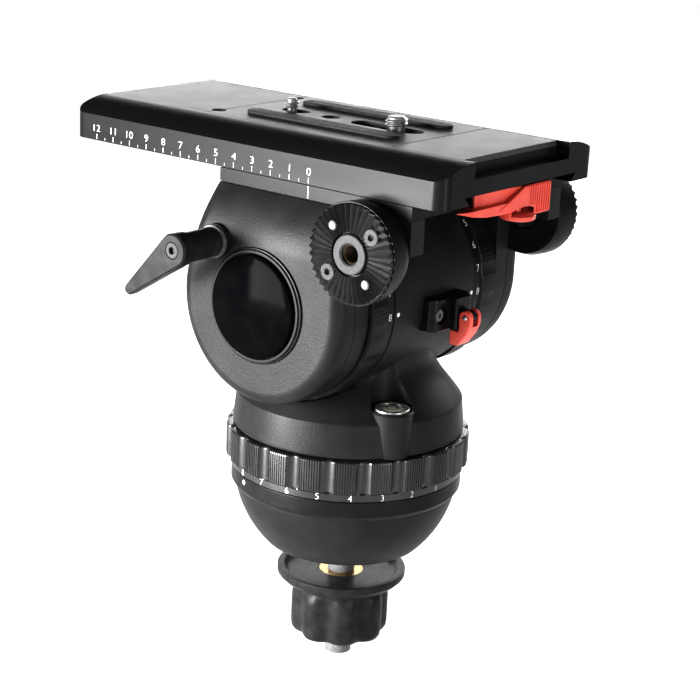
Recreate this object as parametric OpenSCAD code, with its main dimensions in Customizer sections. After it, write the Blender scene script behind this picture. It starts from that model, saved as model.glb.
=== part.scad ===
// Fluid head for a film tripod: a levelling half ball, a panning body,
// a tilting cradle and a sliding camera plate.
// Millimetres. +Z is the pan axis, X the tilt axis, +Y points forward.
// The origin is the centre of the half ball.

/* [Half ball and base] */
// Radius of the levelling half ball
ball_r = 50; // [48:0.5:60]
// Depth of the half ball below its centre
ball_depth = 36; // [28:1:42]
// Thickness of the half ball's floor
ball_floor = 8; // [5:0.5:12]
// Radius of the hollow inside the half ball
ball_hollow_r = 28; // [18:1:30]
// Outer radius of the fixed base ring
base_ring_r = 51.1; // [50.6:0.1:56]
// Height of the fixed base ring
base_ring_h = 8.8; // [6:0.2:12]
// Chamfer at the base ring's lower edge
base_ring_chamfer = 1.6; // [0.5:0.1:3]

/* [Tie-down] */
// Radius of the tie-down stud
stud_r = 6; // [4:0.5:8]
// Length of the stud below the half ball
stud_drop = 56; // [40:1:90]
// Room for the tripod's bowl above the clamping cup
bowl_room = 14; // [8:1:24]
// Radius of the clamping cup
cup_r = 29; // [20:1:40]
// Height of the clamping cup
cup_h = 6; // [4:0.5:10]
// Radius of the tie-down knob
knob_r = 22; // [16:1:30]
// Height of the tie-down knob
knob_h = 26; // [18:1:40]
// Number of finger scallops on the knob
knob_lobes = 8; // [5:1:12]

/* [Pan drag ring] */
// Radius over the grip pads of the pan drag ring
pan_pad_r = 53.7; // [52.5:0.1:58]
// Radius of the numbered lip below the pads
pan_lip_r = 51.6; // [50.5:0.1:53]
// Height of the numbered lip
pan_lip_h = 3.8; // [2.5:0.1:6]
// Height of the whole pan drag ring
pan_ring_h = 18.5; // [14:0.5:24]
// Number of grip pads
pan_pads = 22; // [12:1:30]
// Turn of the pads from the +X direction, in degrees
pan_phase = 5; // [0:0.5:16]
// Depth of the scallops between the pads
scallop_depth = 1.7; // [0.8:0.1:2.2]
// Radius of a scallop's round floor
scallop_r = 5; // [3:0.25:8]
// Radius of the fixed drum that the ring turns on
pan_core_r = 46; // [42:0.5:47]
// Wall of the fixed drum
pan_core_wall = 8; // [5:0.5:10]

/* [Pan spindle] */
// Radius of the pan spindle
spindle_r = 14; // [10:0.5:16]
// Radius of the spindle's flange
spindle_flange_r = 24; // [20:0.5:28]
// Thickness of the spindle's flange
spindle_flange_h = 6; // [4:0.5:7]
// Outer radius of the pan bearings
pan_bearing_r = 23; // [20:0.5:26]
// Height of one pan bearing
pan_bearing_h = 9; // [6:0.5:12]
// Distance between the two pan bearings
pan_bearing_space = 10; // [6:0.5:12]
// Thickness of the nut on the spindle
spindle_nut_h = 6; // [4:0.5:8]

/* [Panning body] */
// Radius of the panning body's lower band
band_r = 51; // [49:0.5:54]
// Height of the lower band
band_h = 14.3; // [11:0.1:20]
// Draft of the lower band at its top edge
band_draft = 1.5; // [0.2:0.1:3]
// Radius of the neck above the cone
neck_r = 36; // [32:0.5:40]
// Height of the tilt axis above the origin
tilt_z = 83.5; // [80:0.5:95]
// Radius of the round middle of the panning body
middle_r = 43.5; // [40:0.5:46]
// Width of the round middle of the panning body
middle_w = 56.4; // [50:0.2:62]
// Radius of the side hubs that carry the tilt rings
hub_r = 36; // [30:0.5:38]
// Radius of the hollow around the tilt shaft
chamber_r = 29; // [24:0.5:32]
// Thickness of the walls beside that hollow
chamber_wall = 4.2; // [3:0.2:8]

/* [Tilt rings] */
// Radius over the pads of the tilt drag and balance rings
tilt_pad_r = 44.3; // [43.8:0.1:46]
// Radius of their numbered lip
tilt_lip_r = 43.3; // [42:0.1:44]
// Width of their numbered lip
tilt_lip_w = 5; // [3:0.2:7]
// Width of each tilt ring
tilt_ring_w = 15.7; // [12:0.1:18]
// Number of grip pads on each tilt ring
tilt_pads = 20; // [12:1:28]
// Depth of the scallops on the tilt rings
tilt_scallop_depth = 0.9; // [0.4:0.1:1.4]

/* [Tilt shaft] */
// Radius of the tilt shaft
shaft_r = 11; // [8:0.5:13]
// Outer radius of the cheek bearings
cheek_bearing_r = 17; // [15:0.5:20]
// Width of one cheek bearing
cheek_bearing_w = 11; // [7:0.5:13]
// Outer radius of the tilt drag discs
tilt_disc_r = 26; // [20:0.5:27.5]
// Thickness of one drag disc
disc_t = 1.6; // [1:0.1:1.7]
// Number of drag discs in each stack
disc_count = 5; // [3:1:6]

/* [Tilting cradle] */
// Radius of the cheeks about the tilt axis
cheek_r = 42.5; // [41:0.5:44]
// Thickness of each cheek
cheek_t = 19.9; // [18.5:0.1:24]
// Rounding of the cheek's outer rim
cheek_round = 6; // [1:0.25:7]
// Height at which the cheek starts to lean inward
flare_z = 105; // [102:0.5:112]
// Step from the platform's side out to the cheek's leaning face
cheek_step = 0.1; // [0.05:0.05:0.6]
// Length of the platform under the plate
plat_len = 99; // [92:1:130]
// Front end of the platform
plat_front = 31; // [28:0.5:40]
// Height of the platform's underside
plat_bot = 129.2; // [128.8:0.1:134]
// Height of the platform's slab
plat_h = 5.5; // [4:0.25:8]
// Height of the dovetail on the platform
tongue_h = 3.5; // [2.5:0.25:5]
// Half width of the dovetail at its foot
tongue_w = 36; // [30:0.5:38]
// Distance from the platform's rear end to the front of its notch
notch_depth = 26; // [24:0.5:28]
// Section of the platform's screws in square millimetres for each millimetre of land
cheek_screw_share = 1.9; // [1.2:0.05:2.4]
// Depth of the platform's screws in the cheeks
cheek_screw_in = 16; // [10:0.5:20]
// Top edge of the cheek's outer cover beside the platform
cover_lip = 0.65; // [0.4:0.05:1.5]
// Radius of the round cap on each cheek
cap_r = 22; // [18.5:0.25:24]
// Width of the bezel round the cap
bezel_w = 2.4; // [1.5:0.1:2.6]
// How far the cap's rim stands out of the cheek
cap_out = 3.7; // [2.5:0.1:6]
// Rise of the cap's dome
cap_dome = 1.9; // [0.8:0.1:3]

/* [Rosettes] */
// Radius of the toothed rosette
rosette_r = 19.2; // [17:0.1:21]
// Thickness of the rosette
rosette_t = 2.4; // [2:0.1:4]
// Radius of the boss behind the rosette
rosette_boss_r = 20.9; // [19.8:0.1:22]
// Distance of the rosette behind the tilt axis
rosette_back = 48.5; // [45:0.5:52]
// Height of the rosette above the tilt axis
rosette_up = 31; // [28:0.5:33]
// Outer radius of the threaded insert
insert_r = 8; // [6:0.25:9]
// Radius of the insert's threaded hole
insert_hole_r = 3.4; // [2.5:0.1:5]
// Radius of the circle that the rosette's screws and pins lie on
rosette_pcr = 13.4; // [12.6:0.1:14.5]
// Turn of the rosette's pins from the +Y direction, in degrees
rosette_turn = 50; // [30:1:60]
// Radius of the rosette's screw heads
rosette_head_r = 3.6; // [2.5:0.1:4]
// Radius of the rosette's pins
rosette_pin_r = 1.9; // [1.2:0.1:2.5]

/* [Lock levers] */
// Radius of a lock lever's hub
lever_hub_r = 6.2; // [5:0.1:6.8]
// Length of a lock lever's hub
lever_hub_l = 16.4; // [10:0.2:24]
// Radius of the round end of a lever's blade
blade_r = 6.9; // [6:0.1:8]
// Radius of the blade's tip
blade_tip_r = 2.4; // [1.5:0.1:4]
// Length of the blade between its two ends
blade_l = 33; // [24:1:45]
// Thickness of the blade
blade_t = 7; // [4:0.25:9]
// Angle at which the tilt lever's blade points below level
blade_angle = 40; // [0:1:90]
// Radius of a lock lever's shaft
lever_shaft_r = 4; // [3:0.1:5]
// Thickness of the bright washer under a lever's hub
lever_washer_t = 1.6; // [1:0.1:3]
// Height of the boss under the tilt lock lever
lever_boss_h = 1.5; // [0.5:0.1:3]
// Distance of the tilt lever ahead of the tilt axis
lever_ahead = 22.3; // [22:0.1:25]
// Height of the tilt lever above the tilt axis
lever_up = 23.3; // [23:0.1:25]
// Direction of the pan lock lever, in degrees from +X
pan_lock_angle = 45; // [20:1:70]
// Height of the pan lock lever above the band's foot
pan_lock_up = 7.4; // [6.8:0.1:8]

/* [Plate clamp] */
// Distance of the clamp lever's pivot from the middle
clamp_x = 16.5; // [14:0.5:19]
// Distance of the clamp lever's pivot ahead of the platform's rear end
clamp_in = 6; // [5:0.25:8]
// Radius of the clamp lever's hub
clamp_hub_r = 9; // [8:0.25:10]
// Height of the clamp lever's hub
clamp_hub_h = 4.6; // [4:0.1:6]
// Radius of the clamp lever's pin
clamp_pin_r = 3; // [2:0.1:4]
// Distance of the clamp lever's rear face behind its pivot
clamp_reach = 11; // [10.4:0.1:12]
// Thickness of the clamp lever's upright wall
clamp_wall_t = 2.5; // [1.8:0.1:2.6]
// Length of the clamp lever's upright wall to the left of its pivot
clamp_wall_l = 33.2; // [24:0.2:36]
// Length of the clamp lever's pointed leaf
clamp_leaf = 44; // [36:1:46]
// Length of the clamp lever's ribbed thumb tab
clamp_tab = 18; // [12:1:20]
// How far the thumb tab hangs below the lever's hub
clamp_tab_drop = 3.2; // [1:0.1:4]
// Distance of the release button behind the lever's pivot
button_back = 8; // [7:0.25:9]
// Radius of the release button
button_r = 7.7; // [6:0.1:8.5]
// Thickness of the release button's disc
button_t = 3.2; // [2:0.1:4]
// Travel of the release button
button_travel = 2; // [1:0.1:2.2]

/* [Level and latch] */
// Direction of the spirit level, in degrees from +X
level_angle = -118; // [-125:1:-110]
// Distance of the spirit level from the pan axis
level_out = 44; // [42:0.25:46]
// Radius of the spirit level's boss
level_boss_r = 9.3; // [8.4:0.1:10]
// Radius of the spirit level's bezel
level_r = 7.6; // [6:0.1:7.8]
// Width of the spirit level's bezel
level_rim = 1.7; // [1:0.1:2.4]
// Height of the spirit level above the band's foot
level_up = 19.6; // [17:0.2:22]
// Direction of the lamp button, in degrees from +X
lamp_angle = -48; // [-60:1:-40]
// Radius of the lamp button
lamp_r = 4.2; // [3:0.1:5]
// Distance of the latch bracket's middle from the middle plane
latch_x = 6.5; // [4:0.5:8]
// Width of the latch bracket
latch_w = 31; // [28:0.5:36]
// Height of the latch bracket
latch_h = 14; // [12:0.5:18]
// Depth of the latch bracket behind the tilt axis
latch_back = 49.5; // [48:0.5:52]
// Bevel of the latch bracket's two ends
latch_bevel = 1.5; // [0.5:0.25:4]
// How far the step that carries the latch lever stands out of the bracket
latch_step = 3.5; // [2:0.25:5]
// Width of the latch lever
latch_fork_w = 8; // [6:0.2:10]
// Radius of the latch lever's ears
latch_ear_r = 3; // [2.4:0.1:4]
// Radius of the latch lever's pin
latch_pin_r = 1.2; // [0.8:0.1:1.6]
// Height of the latch lever's tab
latch_tab = 6.6; // [5:0.2:10]

/* [Camera plate] */
// Width of the camera plate
plate_w = 108.5; // [106:0.5:112]
// Length of the camera plate
plate_len = 200; // [170:1:240]
// Front end of the camera plate
plate_front = 118; // [100:1:140]
// Thickness of the camera plate
plate_h = 16.8; // [15.5:0.1:20]
// Height of the plate's upright side
plate_side_h = 11.1; // [8:0.1:12.5]
// Half width of the flat top panel
panel_w = 33.7; // [30:0.1:36]
// Thickness of the top panel
panel_t = 2.5; // [2:0.1:3]
// Set-back of the panel at the rear end
panel_back = 6; // [3:0.5:10]
// Rounding of the plate's corners in plan
plate_round = 6; // [3:0.5:12]
// Front seam of the top panel
seam_front = 58; // [54:0.5:66]
// Rear seam of the top panel
seam_rear = -41; // [-48:0.5:-38]
// Length of the two rubber grip strips
strip_len = 80; // [60:1:84]
// Width of a grip strip
strip_w = 8.5; // [6:0.25:10]
// Height of a grip strip above the panel
strip_h = 1.4; // [0.8:0.1:2.5]
// Distance of a grip strip from the middle
strip_x = 18.5; // [16:0.25:22]
// Middle of the grip strips along the plate
strip_y = 7; // [4:0.5:10]
// Radius of the large camera screw (3/8 inch)
big_screw_r = 4.76; // [4.5:0.01:5.2]
// Place of the large camera screw
big_screw_y = -18; // [-22:0.5:-10]
// Length of the slot for the large camera screw
big_slot = 36; // [30:1:40]
// Radius of the small camera screw (1/4 inch)
small_screw_r = 3.175; // [3:0.005:3.4]
// Place of the small camera screw
small_screw_y = 39; // [37:0.5:41]
// Length of the slot for the small camera screw
small_slot = 14; // [12:1:18]
// Height of the camera screws above the grip strips
screw_out = 4; // [3:0.5:12]

/* [Fits] */
// Radial clearance of a shaft that turns in its hole
run_fit = 0.05; // [0.02:0.01:0.09]
// Radial gap of a piece pressed into its seat
seat_gap = 0.02; // [0.01:0.005:0.05]
// Gap between flat faces that move past each other
face_gap = 0.4; // [0.25:0.05:0.8]
// Gap between the camera plate and the platform
slide_gap = 0.3; // [0.2:0.05:0.6]

/* [Hidden] */
$fn = 96;
black = [0.10, 0.10, 0.11];
grey = [0.42, 0.43, 0.45];
steel = [0.75, 0.76, 0.78];
red = [0.90, 0.26, 0.20];
brass = [0.80, 0.65, 0.30];
rubber = [0.05, 0.05, 0.05];
base_top = -face_gap;
base_bot = base_top - base_ring_h;
ball_foot = -ball_depth;
stud_head_h = 0.85 * stud_r;
stud_head_r = 2 * stud_r;
stud_end = ball_foot - stud_drop;
cup_top = ball_foot - bowl_room;
knob_top = cup_top - cup_h;
knob_foot = knob_top - knob_h;
tie_nut_r = 1.65 * stud_r;
cup_bevel = 0.5 * cup_h;
cup_dish = 0.35 * cup_h;
knob_floor = 0.12 * knob_h;
core_in_r = pan_core_r - pan_core_wall;
core_floor = 4;
core_top = pan_ring_h - 1.2;
flange_top = base_top + spindle_flange_h;
body_foot = pan_ring_h + face_gap;
bearing_1 = body_foot + 1.5;
bearing_2 = bearing_1 + pan_bearing_h + pan_bearing_space;
nut_foot = bearing_2 + pan_bearing_h + face_gap;
spindle_top = nut_foot + spindle_nut_h;
shoulder_r = spindle_r + 3.5;
ledge_r = pan_bearing_r - 2.5;
band_top = body_foot + band_h;
neck_z = tilt_z - 32;
middle_half = middle_w / 2;
ring_in = middle_half + slide_gap;
ring_out = ring_in + tilt_ring_w;
cheek_in = ring_out + face_gap;
cheek_out = cheek_in + cheek_t;
shaft_end = cheek_out - 3.5;
cap_seat = cheek_out - 2.5;
cap_rim = cheek_out + cap_out;
bezel_out = cheek_out + 1.9;
plat_w = plate_w;
cheek_land = plat_w / 2 - cheek_in;
cover_seam = plat_w / 2 - cover_lip;
plat_rear = plat_front - plat_len;
plat_top = plat_bot + plat_h;
plate_bot = plat_top + slide_gap;
plate_top = plate_bot + plate_h;
plate_rear = plate_front - plate_len;
notch_y = plat_rear + notch_depth;
rosette_y = -rosette_back;
rosette_z = tilt_z + rosette_up;
rosette_seat = cheek_out + 0.6;
rosette_face = rosette_seat + rosette_t;
lever_y = lever_ahead;
lever_z = tilt_z + lever_up;
lever_boss_r = lever_hub_r + 1;
lever_shaft_l = 0.7 * cheek_t;
lever_washer_r = lever_hub_r + 0.7;
pan_lock_z = body_foot + pan_lock_up;
lean_in = cheek_out - plat_w / 2 - cheek_step;
lean_up = plat_bot - flare_z;
lean_r = (lean_in * lean_in + lean_up * lean_up) / (2 * lean_in);
lean_start = 0.12;
clamp_y = plat_rear + clamp_in;
clamp_top = plat_bot - face_gap;
clamp_foot = clamp_top - clamp_hub_h;
clamp_face = clamp_y - clamp_reach;
tab_in = 0.76 * clamp_pin_r;
tab_foot = clamp_foot - clamp_tab_drop;
lug_r = clamp_pin_r + 4.2;
lever_high = plat_top - face_gap;
notch_left = clamp_x - clamp_wall_l - 5;
notch_right = clamp_x + tab_in + clamp_tab + 5;
button_y = clamp_y - button_back;
button_stem_r = 3;
button_top = clamp_foot - 0.8;
button_room = button_top + button_travel + 0.2;
stem_top = button_room + 1.2;
stem_hole = stem_top + button_travel + 0.6;
level_z = body_foot + level_up;
level_seat = level_z - 4;
vial_r = level_r - level_rim;
lamp_z = body_foot + 8;
lamp_face = band_r - 1.1;
latch_top = tilt_z + 1.7;
latch_foot = latch_top - latch_h;
latch_rear = -(latch_back + latch_step);
latch_pin_y = latch_rear - latch_ear_r - face_gap;
latch_pin_z = latch_foot + 2 * latch_ear_r;
latch_lug_x = latch_x + 0.7;
latch_lug_w = 3;
latch_step_w = latch_fork_w + 2;
latch_bore_r = 3.6;
latch_screw_x = latch_x - latch_w / 2 + latch_bore_r + 2;
latch_screw_z = latch_top - 7.4;
panel_floor = plate_top - panel_t;
panel_rear = plate_rear + panel_back;
channel_top = plate_bot + tongue_h;
head_h = 2.6;
carrier_t = 1.2;
head_foot = channel_top + 0.4;
carrier_foot = head_foot + head_h + 0.05;
pocket_top = carrier_foot + carrier_t + slide_gap;
screw_top = plate_top + strip_h + screw_out;
big_head_r = big_screw_r + 3.4;
small_head_r = small_screw_r + 3;
shank_gap = 0.45;
neck_relief = 0.7;
thread_foot = plate_top + slide_gap;

// Turns a shape drawn along +Z so that it runs along +X
module along_x() {
    rotate([0, 90, 0]) children();
}

// Repeats a shape on both sides of the middle plane
module both_sides() {
    children();
    mirror([1, 0, 0]) children();
}

// A tube along +Z
module tube(r_out, r_in, h) {
    difference() {
        cylinder(r = r_out, h = h);
        translate([0, 0, -1]) cylinder(r = r_in, h = h + 2);
    }
}

// Outline of a lever's blade: two round ends joined by tangents, pointing along +X
module blade_outline() {
    t = acos((blade_r - blade_tip_r) / blade_l);
    a = (blade_r - 0.01) * sin(t);
    b = (blade_tip_r - 0.01) * sin(t);
    circle(r = blade_r);
    translate([blade_l, 0]) circle(r = blade_tip_r);
    polygon([[blade_r * cos(t) - 0.5, -a], [blade_l + blade_tip_r * cos(t), -b],
             [blade_l + blade_tip_r * cos(t), b], [blade_r * cos(t) - 0.5, a]]);
}

// A slot outline along +Y with round ends
module slot_outline(length, half_w) {
    square([2 * half_w, length - 2 * half_w], center = true);
    translate([0, length / 2 - half_w]) circle(r = half_w);
    translate([0, half_w - length / 2]) circle(r = half_w);
}

module half_ball() {
    color(black) difference() {
        intersection() {
            sphere(r = ball_r);
            translate([0, 0, ball_foot]) cylinder(r = ball_r + 1, h = base_bot - ball_foot);
        }
        translate([0, 0, ball_foot + ball_floor]) cylinder(r = ball_hollow_r, h = ball_depth);
        translate([0, 0, ball_foot - 1]) cylinder(r = stud_r + seat_gap, h = ball_floor + 2);
        for (a = [45:90:315]) rotate([0, 0, a]) translate([base_screw_x, 0, base_bot - base_screw_l])
            cylinder(r = 2.5 + seat_gap, h = ball_depth);
    }
}
base_screw_x = ball_hollow_r + 6;
base_screw_l = 12;

module base_ring() {
    color(black) difference() {
        rotate_extrude() polygon([[0, base_bot], [base_ring_r - base_ring_chamfer, base_bot],
                                  [base_ring_r, base_bot + base_ring_chamfer * 1.3],
                                  [base_ring_r, base_top - 0.6], [base_ring_r - 0.6, base_top],
                                  [0, base_top]]);
        translate([0, 0, base_bot - 1]) cylinder(r = spindle_r + seat_gap, h = base_ring_h + 2);
        for (a = [45:90:315]) rotate([0, 0, a]) translate([base_screw_x, 0, base_bot - 1])
            cylinder(r = 2.5 + seat_gap, h = base_ring_h + 2);
        for (a = [45:90:315]) rotate([0, 0, a]) translate([base_screw_x, 0, base_top - 3])
            cylinder(r = 4.5 + seat_gap, h = 4);
    }
}

module base_screws() {
    color(steel) for (a = [45:90:315]) rotate([0, 0, a]) translate([base_screw_x, 0, 0]) {
        translate([0, 0, base_bot - base_screw_l]) cylinder(r = 2.5, h = base_screw_l + base_ring_h - 3);
        translate([0, 0, base_top - 3]) cylinder(r = 4.5, h = 3);
    }
}

module pan_spindle() {
    color(steel) union() {
        translate([0, 0, base_bot]) cylinder(r = spindle_r, h = spindle_top - base_bot);
        translate([0, 0, base_top]) cylinder(r = spindle_flange_r, h = spindle_flange_h);
        translate([0, 0, base_top]) cylinder(r = shoulder_r, h = bearing_1 - slide_gap - base_top);
    }
}

module spindle_nut() {
    color(brass) translate([0, 0, nut_foot]) tube(pan_bearing_r - 3, spindle_r + seat_gap, spindle_nut_h);
}

module pan_drag_core() {
    color(grey) difference() {
        translate([0, 0, base_top]) cylinder(r = pan_core_r, h = core_top - base_top);
        translate([0, 0, base_top + core_floor]) cylinder(r = core_in_r, h = core_top);
        translate([0, 0, base_top - 1]) cylinder(r = spindle_flange_r + seat_gap, h = core_floor + 2);
    }
}

module pan_drag_discs() {
    color(steel) for (i = [0:disc_count - 1])
        translate([0, 0, flange_top + slide_gap + i * (disc_t + slide_gap)])
            tube(core_in_r - slide_gap, shoulder_r + slide_gap, disc_t);
}

module tie_down_stud() {
    color(steel) union() {
        translate([0, 0, stud_end]) cylinder(r = stud_r, h = ball_foot + ball_floor - stud_end);
        translate([0, 0, ball_foot + ball_floor]) cylinder(r = stud_head_r, h = stud_head_h);
    }
}

module tie_down_cup() {
    color(black) rotate_extrude() polygon([[tie_nut_r + seat_gap, knob_top],
        [cup_r - cup_bevel, knob_top], [cup_r, knob_top + cup_bevel], [cup_r, cup_top],
        [cup_r - cup_bevel, cup_top], [cup_r - cup_bevel - cup_dish, cup_top - cup_dish],
        [tie_nut_r + seat_gap, cup_top - cup_dish]]);
}

module tie_down_knob() {
    color(black) difference() {
        translate([0, 0, knob_foot]) cylinder(r = knob_r, h = knob_h);
        for (i = [0:knob_lobes - 1]) rotate([0, 0, i * 360 / knob_lobes])
            translate([1.16 * knob_r, 0, knob_foot - 1]) cylinder(r = 0.27 * knob_r, h = 0.85 * knob_h);
        translate([0, 0, knob_foot - 1]) cylinder(r = 1.2 * stud_r, h = knob_h + 2);
        translate([0, 0, knob_foot + knob_floor]) cylinder(r = tie_nut_r + seat_gap, h = knob_h);
    }
}

module tie_down_nut() {
    color(brass) translate([0, 0, knob_foot + knob_floor])
        tube(tie_nut_r, stud_r + run_fit, cup_top - cup_dish - knob_foot - knob_floor);
}

module pan_drag_ring() {
    color(black) difference() {
        rotate_extrude() polygon([[pan_core_r + run_fit, 0], [pan_lip_r, 0], [pan_lip_r, pan_lip_h - 0.6],
            [pan_pad_r - 0.5, pan_lip_h], [pan_pad_r, pan_lip_h + 0.5],
            [pan_pad_r, pan_ring_h - 0.8], [pan_pad_r - 0.8, pan_ring_h],
            [pan_core_r + run_fit, pan_ring_h]]);
        for (i = [0:pan_pads - 1]) rotate([0, 0, pan_phase + (i + 0.5) * 360 / pan_pads])
            translate([pan_pad_r + scallop_r - scallop_depth, 0, pan_lip_h + 0.2])
                cylinder(r = scallop_r, h = pan_ring_h);
    }
}

// Solid of the panning body's band and cone, without the round middle
module pan_cone() {
    difference() {
        union() {
            rotate_extrude() polygon([[0, body_foot], [band_r, body_foot],
                [band_r, body_foot + 3], [band_r - band_draft, band_top],
                [neck_r + (band_r - band_draft - neck_r) * 0.17, neck_z - 4],
                [neck_r, neck_z], [neck_r, tilt_z - 10], [0, tilt_z - 10]]);
            rotate([0, 0, level_angle]) translate([level_out, 0, body_foot])
                cylinder(r = level_boss_r, h = level_up);
        }
        rotate([0, 0, level_angle]) translate([level_out, 0, level_z])
            cylinder(r = level_boss_r, h = tilt_z);
        for (s = [-1, 1]) translate([s * (middle_half + 30), 0, tilt_z]) along_x()
            cylinder(r = tilt_pad_r + 0.6, h = 60, center = true);
    }
}

module pan_body() {
    color(black) difference() {
        union() {
            pan_cone();
            translate([-middle_half, 0, tilt_z]) along_x() cylinder(r = middle_r, h = middle_w);
            translate([-ring_out, 0, tilt_z]) along_x() cylinder(r = hub_r, h = 2 * ring_out);
        }
        translate([0, 0, body_foot - 1])
            cylinder(r = pan_bearing_r + seat_gap, h = bearing_1 + pan_bearing_h - body_foot + 1);
        translate([0, 0, body_foot]) cylinder(r = ledge_r, h = bearing_2 - body_foot + 1);
        translate([0, 0, bearing_2])
            cylinder(r = pan_bearing_r + seat_gap, h = spindle_top - bearing_2 + 2);
        translate([-(middle_half - chamber_wall), 0, tilt_z]) along_x()
            cylinder(r = chamber_r, h = middle_w - 2 * chamber_wall);
        translate([-2 * ring_out, 0, tilt_z]) along_x() cylinder(r = shaft_r + seat_gap, h = 4 * ring_out);
        rotate([0, 0, level_angle]) translate([level_out, 0, level_seat])
            cylinder(r = level_r + seat_gap, h = 10);
        rotate([0, 0, lamp_angle]) translate([lamp_face - 7.5, 0, lamp_z]) along_x()
            cylinder(r = lamp_r + run_fit, h = 20);
        rotate([0, 0, lamp_angle]) translate([lamp_face, 0, lamp_z]) along_x()
            cylinder(r = lamp_r + 1.4, h = 10);
        rotate([0, 0, pan_lock_angle]) translate([pan_bearing_r + 6, 0, pan_lock_z]) along_x()
            cylinder(r = lever_shaft_r + run_fit, h = 60);
        translate([latch_screw_x, -latch_back, latch_screw_z]) rotate([-90, 0, 0])
            cylinder(r = 2 + seat_gap, h = latch_back - chamber_r + 4);
    }
}

module pan_bearings() {
    color(steel) {
        translate([0, 0, bearing_1]) tube(pan_bearing_r, spindle_r + run_fit, pan_bearing_h);
        translate([0, 0, bearing_2]) tube(pan_bearing_r, spindle_r + run_fit, pan_bearing_h);
    }
}

module tilt_shaft() {
    color(steel) translate([-shaft_end, 0, tilt_z]) along_x() cylinder(r = shaft_r, h = 2 * shaft_end);
}

module tilt_drag_discs() {
    color(steel) for (i = [0:disc_count - 1])
        translate([chamber_wall + 0.3 - middle_half + i * (disc_t + slide_gap), 0, tilt_z])
            along_x() tube(tilt_disc_r, shaft_r + seat_gap, disc_t);
}

module balance_pack() {
    color(grey) translate([2, 0, tilt_z]) along_x()
        tube(tilt_disc_r, shaft_r + seat_gap, middle_half - chamber_wall - 2.3);
}

// A tilt ring on the +X side, its lip against the round middle
module tilt_ring() {
    difference() {
        translate([ring_in, 0, tilt_z]) along_x() rotate_extrude() polygon([[hub_r + run_fit, 0],
            [tilt_lip_r, 0], [tilt_lip_r, tilt_lip_w - 0.6], [tilt_pad_r, tilt_lip_w],
            [tilt_pad_r, tilt_ring_w - 0.6], [tilt_pad_r - 0.6, tilt_ring_w],
            [hub_r + run_fit, tilt_ring_w]]);
        for (i = [0:tilt_pads - 1]) translate([ring_in + tilt_lip_w, 0, tilt_z])
            rotate([(i + 0.5) * 360 / tilt_pads, 0, 0])
                translate([0, tilt_pad_r + scallop_r - tilt_scallop_depth, 0]) along_x()
                    cylinder(r = scallop_r, h = tilt_ring_w);
    }
}

module tilt_drag_ring() {
    color(black) mirror([1, 0, 0]) tilt_ring();
}

module balance_ring() {
    color(black) tilt_ring();
}

module level_bezel() {
    color(steel) rotate([0, 0, level_angle]) translate([level_out, 0, level_seat])
        tube(level_r, vial_r + seat_gap, level_z - level_seat + 0.9);
}

module level_vial() {
    color([0.7, 0.8, 0.3]) rotate([0, 0, level_angle]) translate([level_out, 0, level_seat])
        cylinder(r = vial_r, h = level_z - level_seat + 0.5);
}

module lamp_button() {
    color(rubber) rotate([0, 0, lamp_angle]) translate([lamp_face - 5.5, 0, lamp_z]) along_x()
        cylinder(r = lamp_r, h = 5.5);
}

module latch_bracket() {
    lug_up = latch_ear_r - 0.4;
    color(black) difference() {
        union() {
            translate([latch_x, 0, latch_foot]) linear_extrude(latch_h)
                polygon([[-latch_w / 2, -chamber_r], [-latch_w / 2, latch_bevel - latch_back],
                         [latch_bevel - latch_w / 2, -latch_back], [latch_w / 2 - latch_bevel, -latch_back],
                         [latch_w / 2, latch_bevel - latch_back], [latch_w / 2, -chamber_r]]);
            translate([latch_lug_x - latch_step_w / 2, latch_rear, latch_foot])
                cube([latch_step_w, latch_step + 1, latch_h]);
            translate([latch_lug_x - latch_lug_w / 2, latch_pin_y, latch_pin_z]) along_x()
                cylinder(r = lug_up, h = latch_lug_w);
            translate([latch_lug_x - latch_lug_w / 2, latch_pin_y, latch_pin_z - lug_up])
                cube([latch_lug_w, latch_rear - latch_pin_y + 1, 2 * lug_up]);
        }
        translate([0, 0, tilt_z]) along_x() cylinder(r = middle_r + seat_gap, h = 3 * latch_w, center = true);
        translate([latch_screw_x, -latch_back - 1, latch_screw_z]) rotate([-90, 0, 0])
            cylinder(r = latch_bore_r, h = 4);
        translate([latch_screw_x, -latch_back, latch_screw_z]) rotate([-90, 0, 0])
            cylinder(r = 2 + seat_gap, h = latch_back);
        translate([latch_lug_x - latch_fork_w, latch_pin_y, latch_pin_z]) along_x()
            cylinder(r = latch_pin_r + seat_gap, h = 2 * latch_fork_w);
    }
}

module latch_screw() {
    color(steel) union() {
        translate([latch_screw_x, -latch_back + 1.2, latch_screw_z]) rotate([-90, 0, 0])
            cylinder(r = latch_bore_r - 0.8, h = 1.8);
        translate([latch_screw_x, -latch_back + 2, latch_screw_z]) rotate([-90, 0, 0])
            cylinder(r = 2, h = latch_back - chamber_r - 3);
    }
}

module latch_pin() {
    color(steel) translate([latch_lug_x - latch_fork_w / 2 - 0.2, latch_pin_y, latch_pin_z]) along_x()
        cylinder(r = latch_pin_r, h = latch_fork_w + 0.4);
}

// Side outline of the latch lever, with its pin at the origin and its tab reaching under the bracket
module latch_outline() {
    e = latch_ear_r;
    drop = latch_pin_z - latch_foot + face_gap;
    low = drop + latch_tab;
    ahead = e + latch_step + 0.9;
    circle(r = e);
    polygon([[-e + 0.1, 0.4], [-e + 0.1, -e], [e + 0.2, -low], [ahead, -low], [ahead, -drop],
             [e - 0.1, -drop], [e - 0.1, 0.4]]);
}

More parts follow.
